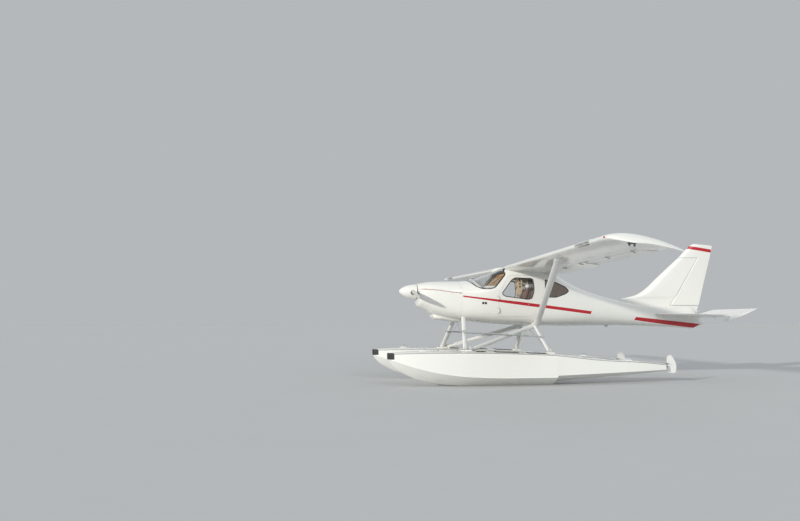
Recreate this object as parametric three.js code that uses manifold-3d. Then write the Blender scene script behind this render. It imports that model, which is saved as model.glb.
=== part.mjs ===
// A two-seat, high-wing floatplane with one engine, on a pair of straight floats.
// Millimetres, +Z up. Stations run aft from the spinner's tip along +X, buttock lines along Y with the
// left side negative, and heights start at the lowest point of the floats' keels.
import * as THREE from 'three';
import { mergeVertices } from 'three/addons/utils/BufferGeometryUtils.js';
import Module from 'manifold-3d';

const wasm = await Module();
wasm.setup();

// Driving dimensions
const ORIGIN_STATION = 3207.5;    // the middle of the whole length, from the spinner's tip
const SEAM = 0.15;                // half the hair gap between pieces that touch
const SEAT = 0.3;                 // the gap that a piece keeps to what it rests on
const RUN = 7;                    // the gap round a piece that swings
const BEARING = 0.4;              // the gap round a pin in its bore

const WALL = 25;                  // the moulded fuselage wall with its core
const DOOR_WALL = 42;
const GLASS = 6;
const COWL_WALL = 10;

const WING = {
  leading: 2040, height: 2250, chord: 1118, pitch: 5.4, dihedral: 0.95, root: 450,
  flapIn: 770, flapOut: 2525, aileronOut: 4540, tipJoint: 5040, tipEnd: 5335, hinge: 0.745,
};
const FLAP_DROOP = 8;             // how far the flaps hang at rest
const AILERON_TILT = -1.5;
const TAIL = {
  rootLeading: 5330, tipLeading: 6030, hinge: 6280, height: 1282, pitch: 3.5,
  stabTip: 1542, elevatorRoot: 120, elevatorSkew: 130, elevatorTip: 1750, chord: 380, horn: 262, tube: 20,
};
const ELEVATOR_UP = 25;           // the stick rests aft, so the elevator stands up at rest
const RUDDER = { hingeFoot: [5832, 1522], hingeHead: [6425, 2455], foot: 1528, hornFoot: 2536, pin: 14 };
const PROP = { station: 262, height: 1791, tilt: 2.6, spinner: 150, spinnerLength: 341, roll: 9 };
const FLOAT_TRACK = 1083;         // from the centreline to each float's middle
const FOOT_TRACK = 1035;          // and to the struts' feet on its deck

const paint = (color, roughness = 0.35, metalness = 0) =>
  new THREE.MeshStandardMaterial({ color, roughness, metalness });
const FINISH = {
  gelcoat: paint(0xf4f3ee, 0.25), white: paint(0xeff0ee, 0.3), bare: paint(0x8d9094, 0.4, 0.9),
  blade: paint(0x7d8083, 0.4), rubber: paint(0x232323, 0.8), glass: paint(0x9fb0b4, 0.08),
  tan: paint(0xb9803c, 0.5), dark: paint(0x2c2c2e, 0.7), cloth: paint(0x6b5844, 0.9),
};

// Solids: closed skins go in, cut or joined, and come out as skins again
const rad = (degrees) => degrees * Math.PI / 180;

function signedVolume(geometry) {
  const p = geometry.attributes.position;
  const index = geometry.index.array;
  const [a, b, c] = [new THREE.Vector3(), new THREE.Vector3(), new THREE.Vector3()];
  let sum = 0;
  for (let i = 0; i < index.length; i += 3) {
    a.fromBufferAttribute(p, index[i]);
    b.fromBufferAttribute(p, index[i + 1]);
    c.fromBufferAttribute(p, index[i + 2]);
    sum += a.dot(b.cross(c));
  }
  return sum / 6;
}

function solid(geometry) {
  const bare = geometry.clone();
  bare.deleteAttribute('normal');
  bare.deleteAttribute('uv');
  const joined = mergeVertices(bare, 1e-3);
  const index = Uint32Array.from(joined.index.array);
  if (signedVolume(joined) < 0) {
    for (let i = 0; i < index.length; i += 3) [index[i + 1], index[i + 2]] = [index[i + 2], index[i + 1]];
  }
  const vertProperties = Float32Array.from(joined.attributes.position.array);
  return new wasm.Manifold(new wasm.Mesh({ numProp: 3, vertProperties, triVerts: index }));
}

function skin(body) {
  const mesh = body.getMesh();
  const geometry = new THREE.BufferGeometry();
  geometry.setAttribute('position', new THREE.BufferAttribute(Float32Array.from(mesh.vertProperties), 3));
  geometry.setIndex(Array.from(mesh.triVerts));
  geometry.computeVertexNormals();
  return geometry;
}

const join = (...bodies) => bodies.reduce((whole, body) => whole.add(body));
const cut = (body, ...tools) => tools.reduce((rest, tool) => rest.subtract(tool), body);

// Shapes
// Rings of points, one for each section, joined into a closed skin with flat ends
function loft(rings) {
  const count = rings[0].length;
  const positions = rings.flat(2);
  const index = [];
  for (let r = 0; r + 1 < rings.length; r++) {
    for (let i = 0; i < count; i++) {
      const [a, b] = [r * count + i, r * count + (i + 1) % count];
      index.push(a, b, b + count, a, b + count, a + count);
    }
  }
  const cap = (ring, first, facingBack) => {
    const normal = [0, 1, 2].map((k) => ring.reduce((sum, p, i) => {
      const q = ring[(i + 1) % count];
      const [u, v] = [(k + 1) % 3, (k + 2) % 3];
      return sum + p[u] * q[v] - q[u] * p[v];
    }, 0));
    const axis = [0, 1, 2].reduce((best, k) => (Math.abs(normal[k]) > Math.abs(normal[best]) ? k : best), 0);
    const [u, v] = [(axis + 1) % 3, (axis + 2) % 3];
    const flat = ring.map((p) => new THREE.Vector2(p[u], p[v]));
    for (const [i, j, k] of THREE.ShapeUtils.triangulateShape(flat, [])) {
      const turn = (flat[j].x - flat[i].x) * (flat[k].y - flat[i].y)
        - (flat[j].y - flat[i].y) * (flat[k].x - flat[i].x);
      const along = turn * normal[axis] > 0;
      const face = along === facingBack ? [i, k, j] : [i, j, k];
      index.push(...face.map((n) => n + first));
    }
  };
  cap(rings[0], 0, true);
  cap(rings.at(-1), (rings.length - 1) * count, false);
  const geometry = new THREE.BufferGeometry();
  geometry.setAttribute('position', new THREE.Float32BufferAttribute(positions, 3));
  geometry.setIndex(index);
  return solid(geometry);
}

const mirrored = ([x, y, z], side) => [x, side * y, z];

const block = (x0, x1, y0, y1, z0, z1) => {
  const geometry = new THREE.BoxGeometry(x1 - x0, y1 - y0, z1 - z0);
  geometry.translate((x0 + x1) / 2, (y0 + y1) / 2, (z0 + z1) / 2);
  return solid(geometry);
};

// A flat outline of [station, height] points, pushed through along Y
function plate(outline, y0, y1) {
  const shape = new THREE.Shape(outline.map(([x, z]) => new THREE.Vector2(x, z)));
  const geometry = new THREE.ExtrudeGeometry(shape, { depth: y1 - y0, bevelEnabled: false });
  geometry.rotateX(Math.PI / 2);
  geometry.translate(0, y1, 0);
  return solid(geometry);
}

function rod(from, to, radius, sides = 12) {
  const [a, b] = [new THREE.Vector3(...from), new THREE.Vector3(...to)];
  const geometry = new THREE.CylinderGeometry(radius, radius, a.distanceTo(b), sides);
  const turn = new THREE.Quaternion().setFromUnitVectors(
    new THREE.Vector3(0, 1, 0), b.clone().sub(a).normalize());
  geometry.applyQuaternion(turn);
  const middle = a.add(b).multiplyScalar(0.5);
  geometry.translate(middle.x, middle.y, middle.z);
  return solid(geometry);
}

// A closed outline with its corners rounded off by arcs
function rounded(outline, radius) {
  const points = [];
  outline.forEach((corner, i) => {
    const here = new THREE.Vector2(...corner);
    const before = new THREE.Vector2(...outline.at(i - 1)).sub(here);
    const after = new THREE.Vector2(...outline[(i + 1) % outline.length]).sub(here);
    const reach = Math.min(radius, before.length() * 0.45, after.length() * 0.45);
    const start = here.clone().addScaledVector(before.normalize(), reach);
    const end = here.clone().addScaledVector(after.normalize(), reach);
    const curve = new THREE.QuadraticBezierCurve(start, here, end);
    for (const p of curve.getPoints(3)) points.push([p.x, p.y]);
  });
  return points;
}

// The same outline drawn in by a gap all round
function shrink(outline, gap) {
  const area = outline.reduce((sum, [x, z], i) => {
    const [u, v] = outline[(i + 1) % outline.length];
    return sum + x * v - u * z;
  }, 0);
  const side = Math.sign(area);
  return outline.map((corner, i) => {
    const [x, z] = corner;
    const [px, pz] = outline.at(i - 1);
    const [nx, nz] = outline[(i + 1) % outline.length];
    const before = new THREE.Vector2(x - px, z - pz).normalize();
    const after = new THREE.Vector2(nx - x, nz - z).normalize();
    const inward = new THREE.Vector2(-(before.y + after.y), before.x + after.x).multiplyScalar(side).normalize();
    const slope = new THREE.Vector2(-after.y, after.x).multiplyScalar(side).dot(inward);
    const step = gap / Math.max(slope, 0.5);
    return [x + inward.x * step, z + inward.y * step];
  });
}

// Fuselage: each row is a section
// station, bottom, top, half width, height of the widest line, squareness above, squareness below
const COWL_SECTIONS = [
  [354, 1524, 1942, 196, 1738, 2.3, 2.3],
  [364, 1507, 1951, 262, 1737, 2.3, 2.3],
  [385, 1490, 1957, 322, 1735, 2.3, 2.3],
  [425, 1468, 1965, 360, 1735, 2.4, 2.3],
  [520, 1418, 1980, 402, 1730, 2.6, 2.4],
  [650, 1332, 1991, 438, 1720, 2.7, 2.5],
  [900, 1262, 1997, 478, 1700, 2.7, 3.0],
  [1169.7, 1221, 1999, 505, 1680, 2.7, 3.5],
];
const HULL_SECTIONS = [
  [1170, 1221, 1999, 505, 1680, 2.7, 3.5],
  [1400, 1203, 2020, 535, 1650, 2.7, 3.6],
  [1650, 1176, 2100, 557, 1620, 2.9, 3.6],
  [1900, 1154, 2184, 574, 1600, 3.4, 3.7],
  [2110, 1140, 2262, 583, 1590, 4.4, 3.7],
  [2400, 1127, 2318, 588, 1580, 5.0, 3.7],
  [2800, 1113, 2296, 580, 1570, 4.6, 3.6],
  [3130, 1105, 2170, 556, 1560, 3.4, 3.3],
  [3300, 1104, 2076, 536, 1550, 2.9, 3.1],
  [3650, 1105, 1900, 482, 1520, 2.5, 2.8],
  [3960, 1108, 1788, 426, 1490, 2.3, 2.5],
  [4460, 1112, 1652, 336, 1440, 2.2, 2.4],
  [5060, 1101, 1545, 238, 1380, 2.2, 2.3],
  [5600, 1080, 1502, 160, 1330, 2.2, 2.2],
  [5950, 1060, 1502, 112, 1300, 2.2, 2.2],
  [6250, 1036, 1492, 74, 1270, 2.2, 2.2],
  [6330, 1052, 1440, 58, 1250, 2.2, 2.2],
  [6400, 1074, 1300, 44, 1180, 2.2, 2.2],
  [6450, 1092, 1218, 33, 1155, 2.2, 2.2],
  [6518, 1122, 1172, 16, 1147, 2.0, 2.0],
];
const RING_POINTS = 24;

// One section as a ring, drawn in by inset, or out where that is negative
function hullRing([station, bottom, top, half, waist, above, below], inset) {
  const [low, high, wide] = [bottom + inset, top - inset, Math.max(half - inset, 4)];
  return Array.from({ length: RING_POINTS }, (_, i) => {
    const angle = 2 * Math.PI * (i + 0.5) / RING_POINTS;
    const [c, s] = [Math.cos(angle), Math.sin(angle)];
    const power = 2 / (s > 0 ? above : below);
    const reach = s > 0 ? high - waist : waist - low;
    return [
      station,
      wide * Math.sign(c) * Math.abs(c) ** power,
      waist + reach * Math.sign(s) * Math.abs(s) ** power,
    ];
  });
}
const hull = (sections, inset) => loft(sections.map((row) => hullRing(row, inset)));
const between = (sections, first, last) => sections.filter(([station]) => station >= first && station <= last);

const HOLLOW_END = 5600;
const fuselageSolid = hull(HULL_SECTIONS, 0);
const fuselageGrown = hull([
  [HULL_SECTIONS[0][0] - SEAT, ...HULL_SECTIONS[0].slice(1)],
  ...HULL_SECTIONS.slice(1, -1),
  [HULL_SECTIONS.at(-1)[0] + SEAT, ...HULL_SECTIONS.at(-1).slice(1)],
], -SEAT);
const hollow = (sections, inset) => {
  const rows = [[sections[0][0] - 20, ...sections[0].slice(1)], ...between(sections, 1200, HOLLOW_END)];
  return hull(rows, inset);
};
const fuselageHollow = hollow(HULL_SECTIONS, WALL);
const cabinInside = hollow(HULL_SECTIONS, WALL + SEAT);

// Outlines in side view, as [station, height]
const WINDSHIELD = [[1335, 2500], [1335, 2006], [1440, 1890], [1560, 1835], [1700, 1828], [1822, 1852],
  [2048, 2122], [2024, 2192], [2108, 2262], [2108, 2500]];
const DOOR = rounded([[1885, 1285], [1885, 1715], [2100, 2098], [2795, 2098], [2838, 1890], [2668, 1440],
  [2560, 1285]], 60);
const DOOR_WINDOW = rounded([[1947, 1735], [2140, 1995], [2215, 2052], [2590, 2038], [2612, 1800], [2560, 1640],
  [2480, 1620], [2010, 1684]], 55);
const REAR_WINDOW = rounded([[2868, 2012], [2868, 1668], [3070, 1664], [3290, 1740], [3366, 1800], [3285, 1882],
  [3060, 1972]], 50);
const SIDE_REACH = 700;
const doorTool = (gap, side) => plate(shrink(DOOR, gap), side > 0 ? 200 : -SIDE_REACH, side > 0 ? SIDE_REACH : -200);
const rearTool = (gap, side) =>
  plate(shrink(REAR_WINDOW, gap), side > 0 ? 150 : -SIDE_REACH, side > 0 ? SIDE_REACH : -150);

// Fin, moulded with the fuselage: height, leading edge station, half thickness
const FIN_SECTIONS = [
  [1400, 4900, 26], [1655, 4660, 30], [1690, 4850, 44], [1725, 4990, 50], [1790, 5130, 52], [1880, 5262, 51],
  [2090, 5500, 45], [2320, 5768, 38], [2526, 6010, 31],
];
// The tail cone's top under the rudder's foot: height, trailing edge
const STERN_SECTIONS = [[1290, 6382], [1381, 6396], [1510, 6441]];
const STERN = { nose: 5700, half: 40 };
// The rudder's horn, which is the fin's cap: height, leading edge, trailing edge, half thickness
const HORN_SECTIONS = [[RUDDER.hornFoot, 6022, 6742, 30], [2700, 6190, 6783, 26], [2795, 6300, 6806, 22], [2832, 6372, 6440, 8]];
// Rudder below its horn: height, trailing edge, half thickness at the hinge
const RUDDER_SECTIONS = [[RUDDER.foot, 6450, 37], [2050, 6598, 31], [RUDDER.hornFoot, 6742, 25]];
const LEAN = Math.hypot(
  RUDDER.hingeHead[0] - RUDDER.hingeFoot[0], RUDDER.hingeHead[1] - RUDDER.hingeFoot[1])
  / (RUDDER.hingeHead[1] - RUDDER.hingeFoot[1]);
const hingeStation = (height) => {
  const [[x0, z0], [x1, z1]] = [RUDDER.hingeFoot, RUDDER.hingeHead];
  return x0 + (x1 - x0) * (height - z0) / (z1 - z0);
};
const blendOf = (table, height, column) => {
  const above = Math.max(1, table.findIndex(([h]) => h >= height));
  const [low, high] = [table[above - 1], table[above]];
  const share = (height - low[0]) / (high[0] - low[0]);
  return low[column] + (high[column] - low[column]) * share;
};
const rudderHalf = (height) =>
  blendOf(RUDDER_SECTIONS, Math.min(Math.max(height, RUDDER.foot), RUDDER.hornFoot), 2);

// A thin section seen from above: along the chord and half width, round nose and square tail
const THIN = [[0, 0.05], [0.02, 0.35], [0.08, 0.66], [0.2, 0.92], [0.38, 1], [0.7, 0.93], [1, 0.82]];
// The same with a fine tail
const FINE = [[0, 0.06], [0.02, 0.34], [0.08, 0.64], [0.2, 0.9], [0.38, 1], [0.65, 0.72], [1, 0.07]];
const flatRing = (section, nose, tail, half, height) => {
  const sideOf = (sign) => section.map(([along, wide]) => [nose + (tail - nose) * along, sign * half * wide, height]);
  return [...sideOf(1), ...sideOf(-1).reverse()];
};

const finSolid = loft(FIN_SECTIONS.map(([height, nose, half]) => {
  return flatRing(THIN, nose, hingeStation(height) - LEAN * (rudderHalf(height) + RUN), half, height);
}));

const sternSolid = loft(STERN_SECTIONS.map(([height, tail]) =>
  flatRing(FINE, STERN.nose, tail, STERN.half, height)));

const hingePoint = (height) => [hingeStation(height), 0, height];
const rudderPin = (radius, past = 0) => rod(hingePoint(1445 - past), hingePoint(1560), radius, 16);
const elevatorTube = (radius, half) => rod([TAIL.hinge, -half, TAIL.height], [TAIL.hinge, half, TAIL.height], radius, 20);

// Door hinges stand on the skin at the door's front edge
const DOOR_HINGE = { station: 1881, out: 594, radius: 9, knuckles: [1410, 1640], length: 46, leaf: 34, deep: 68 };
function hingePieces(side, ofDoor) {
  const { station, out, radius, knuckles, length, leaf, deep } = DOOR_HINGE;
  const across = (x0, x1, y0, y1, z0, z1) =>
    block(x0, x1, Math.min(side * y0, side * y1), Math.max(side * y0, side * y1), z0, z1);
  const span = (z0, z1) => {
    const barrel = rod([station, side * out, z0], [station, side * out, z1], radius);
    return ofDoor
      ? join(barrel, across(station, station + leaf, out - 14, out + 4, z0, z1),
        across(station + 12, station + leaf, out - deep, out + 4, z0, z1))
      : join(barrel, across(station - leaf, station, out - deep, out + 4, z0, z1));
  };
  return join(...knuckles.flatMap((z) => (ofDoor
    ? [span(z - length / 2, z + length / 2)]
    : [span(z - length / 2 - 30, z - length / 2 - BEARING), span(z + length / 2 + BEARING, z + length / 2 + 30)])));
}

const half = (body, side) => body.intersect(side > 0
  ? block(-500, 7500, SEAM, 2000, -100, 4000) : block(-500, 7500, -2000, -SEAM, -100, 4000));
const tieDown = block(6150, 6215, -7, 7, 1000, 1060);

const fuselageShell = cut(
  join(fuselageSolid, finSolid, sternSolid, tieDown),
  fuselageHollow, plate(WINDSHIELD, -SIDE_REACH, SIDE_REACH), doorTool(0, 1), doorTool(0, -1),
  rearTool(0, 1), rearTool(0, -1), rudderPin(RUDDER.pin + BEARING, 2), elevatorTube(TAIL.tube + BEARING, 300));
const fuselageHalf = (side) => join(half(fuselageShell, side), cut(hingePieces(side, false), cabinInside));

const windshield = cut(
  fuselageSolid, hollow(HULL_SECTIONS, GLASS)).intersect(plate(shrink(WINDSHIELD, SEAT), -SIDE_REACH, SIDE_REACH));
const rearWindow = (side) => cut(fuselageSolid, hollow(HULL_SECTIONS, GLASS)).intersect(rearTool(SEAT, side));

const doorWindowTool = (gap, side) =>
  plate(shrink(DOOR_WINDOW, gap), side > 0 ? 200 : -SIDE_REACH, side > 0 ? SIDE_REACH : -200);
const doorPanel = (side) => join(
  cut(fuselageSolid, hollow(HULL_SECTIONS, DOOR_WALL), doorWindowTool(0, side)).intersect(doorTool(RUN, side)),
  cut(hingePieces(side, true), hollow(HULL_SECTIONS, DOOR_WALL)));
const doorGlass = (side) => cut(hull(HULL_SECTIONS, GLASS), hollow(HULL_SECTIONS, 2 * GLASS))
  .intersect(doorWindowTool(SEAT, side));

// Cowling, parted along a line in side view
const COWL_PARTING = [[300, 1833], [397, 1826], [713, 1802], [966, 1764], [1300, 1730]];
const scoopSections = [
  [655, 1288, 1350, 150, 1318, 2.6, 2.6], [700, 1240, 1350, 188, 1300, 2.8, 3.0],
  [900, 1217, 1350, 214, 1290, 3.0, 3.4], [1090, 1187, 1350, 222, 1275, 3.2, 3.6],
  [1169.7, 1180, 1350, 222, 1270, 3.2, 3.6],
];
const deeper = (rows, first) => [
  [first, ...rows[0].slice(1)], ...rows.slice(1, -1), [rows.at(-1)[0] + 20, ...rows.at(-1).slice(1)]];
const INLET = { x: 390, y: 212, z: 1752, wide: 58, tall: 44, long: 130 };
const inlet = (side) => {
  const geometry = new THREE.CylinderGeometry(1, 1, INLET.long, 20);
  geometry.rotateZ(Math.PI / 2);
  geometry.scale(1, INLET.wide, INLET.tall);
  geometry.translate(INLET.x, side * INLET.y, INLET.z);
  return solid(geometry);
};
const cowl = cut(
  join(hull(COWL_SECTIONS, 0), hull(scoopSections, 0)),
  hull(deeper(COWL_SECTIONS, COWL_SECTIONS[0][0] + COWL_WALL - 2), COWL_WALL), hull(deeper(scoopSections, 690), COWL_WALL),
  inlet(1), inlet(-1), rod([330, 0, PROP.height - 4], [450, 0, PROP.height - 9], 46, 20));
const partingOutline = (up) => {
  const line = COWL_PARTING.map(([x, z]) => [x, z + (up ? SEAM : -SEAM)]);
  const far = up ? 2500 : 900;
  return [...line, [1300, far], [300, far]];
};
const cowlPart = (up) => cowl.intersect(plate(partingOutline(up), -600, 600));

// What is inside: firewall, engine, panel, floor, seats, cage and sticks
const FLOOR = 1200;
const PLATE = 8;
const engine = join(
  block(600, 1010, -210, 210, 1440, 1830), block(640, 980, -400, 400, 1560, 1740),
  block(990, 1172 - SEAT, -150, 150, 1480, 1700), rod([550, 0, PROP.height - 13], [620, 0, PROP.height - 15], 60, 16));
const inCabin = (body) => body.intersect(cabinInside);
const firewall = inCabin(block(1172, 1172 + PLATE, -600, 600, 1000, 2200));
const panel = inCabin(plate(
  [[1300, 1806], [1520, 1812], [1770, 1812], [1790, 1800], [1790, 1560], [1760, 1560], [1760, 1784], [1300, 1784]],
  -600, 600));
const floor = inCabin(block(1184, 3060, -600, 600, FLOOR - PLATE, FLOOR));
const SEAT_OUTLINE = [[2160, 1345], [2154, 1400], [2200, 1436], [2560, 1404], [2676, 1890], [2720, 1916],
  [2776, 1890], [2694, 1400], [2660, 1345]];
const seat = (side) => {
  const [y0, y1, inset] = side > 0 ? [40, 478, 112] : [-478, -40, 112];
  return join(plate(rounded(SEAT_OUTLINE, 24), y0, y1),
    block(2240, 2600, y0 + inset, y1 - inset, FLOOR + SEAT, 1350));
};
// Cage tubes from one point to another, on the right side and mirrored: station, out, height
const CAGE = { tube: 14, past: 8, foot: FLOOR + SEAT };
const CAGE_TUBES = [
  [[1925, 275, 1190], [1925, 490, 1500]], [[1925, 490, 1500], [1925, 490, 1700]],
  [[1925, 490, 1700], [2165, 430, 2150]], [[2165, 430, 2150], [2800, 430, 2140]],
  [[2800, 430, 2140], [2800, 490, 1500]], [[2800, 490, 1500], [2800, 385, 1190]],
  [[2165, 60, 2150], [1800, 370, 1828]],
];
const CAGE_CROSS = [[[2165, -430, 2150], [2165, 430, 2150]], [[2800, -430, 2140], [2800, 430, 2140]]];
// Each tube runs a little past its end points, so that they meet whole
const cageTube = (from, to) => {
  const [a, b] = [new THREE.Vector3(...from), new THREE.Vector3(...to)];
  const past = b.clone().sub(a).setLength(CAGE.past);
  return rod(a.sub(past).toArray(), b.add(past).toArray(), CAGE.tube, 7);
};
const cage = cut(
  join(...CAGE_TUBES.flatMap(([a, b]) => [cageTube(mirrored(a, 1), mirrored(b, 1)),
    cageTube(mirrored(a, -1), mirrored(b, -1))]), ...CAGE_CROSS.map(([a, b]) => cageTube(a, b))),
  block(1500, 3000, -600, 600, 900, CAGE.foot));
const sticks = join(
  rod([1990, -270, 1230], [1990, 270, 1230], 13, 10),
  ...[1, -1].flatMap((side) => [
    rod([1990, side * 270, 1230], [2020, side * 270, 1520], 11, 10),
    rod([2020, side * 270, 1520], [2026, side * 270, 1640], 19, 10),
    block(1960, 2020, side * 270 - 30, side * 270 + 30, FLOOR + SEAT, 1232)]));

// Wing section: a smooth cambered curve with its thickness laid on both sides
const [THICK, CAMBER, CAMBER_AT] = [0.13, 0.022, 0.4];
const meanLine = (c) => (c < CAMBER_AT
  ? CAMBER / CAMBER_AT ** 2 * (2 * CAMBER_AT * c - c * c)
  : CAMBER / (1 - CAMBER_AT) ** 2 * (1 - 2 * CAMBER_AT + 2 * CAMBER_AT * c - c * c));
const halfThickness = (c) =>
  5 * THICK * (0.2969 * Math.sqrt(c) - 0.126 * c - 0.3516 * c ** 2 + 0.2843 * c ** 3 - 0.1015 * c ** 4);
const WING_STEPS = 9;
// A point of the wing at a buttock line: share of the chord and height over the chord line
function wingPoint(y, c, h, lead = 0) {
  const [along, up] = [WING.chord * c, WING.chord * h];
  const pitch = rad(WING.pitch);
  return [
    WING.leading + lead + along * Math.cos(pitch) + up * Math.sin(pitch), y,
    WING.height + Math.abs(y) * Math.tan(rad(WING.dihedral)) - along * Math.sin(pitch) + up * Math.cos(pitch),
  ];
}
function wingRing(y, grow = 0, from = 0, to = 1, fullness = 1) {
  const shares = Array.from({ length: WING_STEPS + 1 }, (_, i) => (1 - Math.cos(Math.PI * i / WING_STEPS)) / 2);
  const pointOf = (c, sign) => {
    const h = meanLine(c) + sign * (fullness * halfThickness(c) + grow / WING.chord);
    return wingPoint(y, from + (to - from) * c, h);
  };
  return [...shares.slice().reverse().map((c) => pointOf(c, 1)), ...shares.slice(1).map((c) => pointOf(c, -1))];
}
const hingeAt = (y) => wingPoint(y, WING.hinge, meanLine(WING.hinge));
const hingeRadius = halfThickness(WING.hinge) * WING.chord;
const bay = (side) => {
  const front = hingeAt(0)[0] - hingeRadius - RUN;
  const [y0, y1] = [WING.flapIn - RUN, WING.aileronOut + RUN].map((y) => side * y);
  return block(front, 3400, Math.min(y0, y1), Math.max(y0, y1), 1900, 2600);
};
// Flap or aileron: the wing's own tail behind the hinge, with a round nose about the hinge line
function surface(side, inner, outer, droop) {
  const steps = [1, 0.9, 0.6, 0.3, 0];
  const ring = (y) => {
    const tail = (sign) => steps.map((s) => {
      const c = WING.hinge + (1 - WING.hinge) * s;
      return [c, meanLine(c) + sign * halfThickness(c)];
    });
    const nose = [1, 2, 3, 4, 5].map((i) => {
      const angle = Math.PI / 2 + Math.PI * i / 6;
      const r = halfThickness(WING.hinge);
      return [WING.hinge + r * Math.cos(angle), meanLine(WING.hinge) + r * Math.sin(angle)];
    });
    return [...tail(1), ...nose, ...tail(-1).reverse()].map(([c, h]) => wingPoint(y, c, h));
  };
  const [a, b] = [hingeAt(side * inner), hingeAt(side * outer)].map((p) => new THREE.Vector3(...p));
  const axis = b.clone().sub(a).normalize().multiplyScalar(side);
  const turn = (point) => new THREE.Vector3(...point).sub(a).applyAxisAngle(axis, rad(droop)).add(a).toArray();
  return loft([side * inner, side * outer].map((y) => ring(y).map(turn)));
}
const hingePin = (side, from, to, radius) => rod(hingeAt(side * from), hingeAt(side * to), radius, 12);
const PIN = 8;
const flap = (side) => join(
  surface(side, WING.flapIn, WING.flapOut, FLAP_DROOP), hingePin(side, WING.flapIn - 30, WING.flapIn + 60, PIN));
const aileron = (side) => join(
  surface(side, WING.flapOut + RUN, WING.aileronOut, side * AILERON_TILT),
  hingePin(side, WING.aileronOut - 60, WING.aileronOut + 30, PIN));
const wing = (side) => cut(
  loft([side * WING.root, side * WING.tipJoint].map((y) => wingRing(y))), bay(side), fuselageGrown,
  hingePin(side, WING.flapIn - 31, WING.flapIn, PIN + BEARING),
  hingePin(side, WING.aileronOut, WING.aileronOut + 31, PIN + BEARING));
// Wing tip: share of the way out, leading edge, trailing edge, fullness, droop, which is larger behind
const TIP_SECTIONS = [
  [0, 0, 1, 1, 0], [0.34, 0.014, 1, 0.97, 4], [0.6, 0.045, 1.003, 0.86, 16], [0.8, 0.1, 1.006, 0.66, 38],
  [0.93, 0.18, 1.008, 0.42, 62], [1, 0.3, 1.008, 0.14, 80],
];
const wingTip = (side) => {
  const start = WING.tipJoint + SEAT;
  return loft(TIP_SECTIONS.map(([out, from, to, fullness, droop]) =>
    wingRing(side * (start + (WING.tipEnd - start) * out), 0, from, to, fullness)
      .map(([x, y, z]) => [x, y, z - droop * (0.7 + 1.1 * (x - WING.leading) / WING.chord)])));
};

// Streamlined strut: a drop-shaped section about the line from one end to the other
function strut(from, to, chord, thick, grow = 0) {
  const [a, b] = [new THREE.Vector3(...from), new THREE.Vector3(...to)];
  const axis = b.clone().sub(a).normalize();
  const along = new THREE.Vector3(1, 0, 0).addScaledVector(axis, -axis.x).normalize();
  const across = axis.clone().cross(along);
  const ring = (centre) => Array.from({ length: 12 }, (_, i) => {
    const angle = 2 * Math.PI * i / 12;
    const width = Math.sin(angle) * (1 - 0.22 * Math.cos(angle)) * (thick / 2 + grow);
    return centre.clone().addScaledVector(along, Math.cos(angle) * (chord / 2 + grow))
      .addScaledVector(across, width).toArray();
  });
  return loft([ring(a), ring(b)]);
}
const LIFT = { foot: [2690, 470, 1136], top: [2196, 2905, 2252], chord: 118, thick: 44 };
const wingGrown = (side) => loft([side * WING.root, side * WING.tipJoint].map((y) => wingRing(y, SEAT)));
const liftStrut = (side) => {
  const [foot, top] = [mirrored(LIFT.foot, side), mirrored(LIFT.top, side)];
  return cut(strut(foot, top, LIFT.chord, LIFT.thick), fuselageGrown, wingGrown(side),
    block(1500, 3500, -4000, 4000, 2262, 2600));
};

// Tailplane: a fixed front with a swept leading edge, and an elevator with balance horns at its tips
const tailPoint = (y, along, up) => [
  TAIL.hinge + along * Math.cos(rad(TAIL.pitch)) + up * Math.sin(rad(TAIL.pitch)), y,
  TAIL.height - along * Math.sin(rad(TAIL.pitch)) + up * Math.cos(rad(TAIL.pitch))];
const ELEVATOR_HALF = { root: 26, tip: 18 };
const stabilizer = (side) => {
  const ringAt = (y, nose, thick, rear) => {
    const sideOf = (sign) => THIN.map(([c, w]) => tailPoint(y, nose + (rear - nose) * c, sign * thick * w));
    return [...sideOf(1), ...sideOf(-1).reverse()];
  };
  const rear = (r) => -r - RUN;
  return cut(loft([
    ringAt(side * 40, TAIL.rootLeading - 60 - TAIL.hinge, 34, rear(ELEVATOR_HALF.root)),
    ringAt(side * (TAIL.stabTip - 40), TAIL.tipLeading - 16 - TAIL.hinge, 23, rear(ELEVATOR_HALF.tip)),
    ringAt(side * TAIL.stabTip, TAIL.tipLeading - TAIL.hinge, 22, rear(ELEVATOR_HALF.tip)),
  ]), fuselageGrown, finSolid);
};
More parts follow.
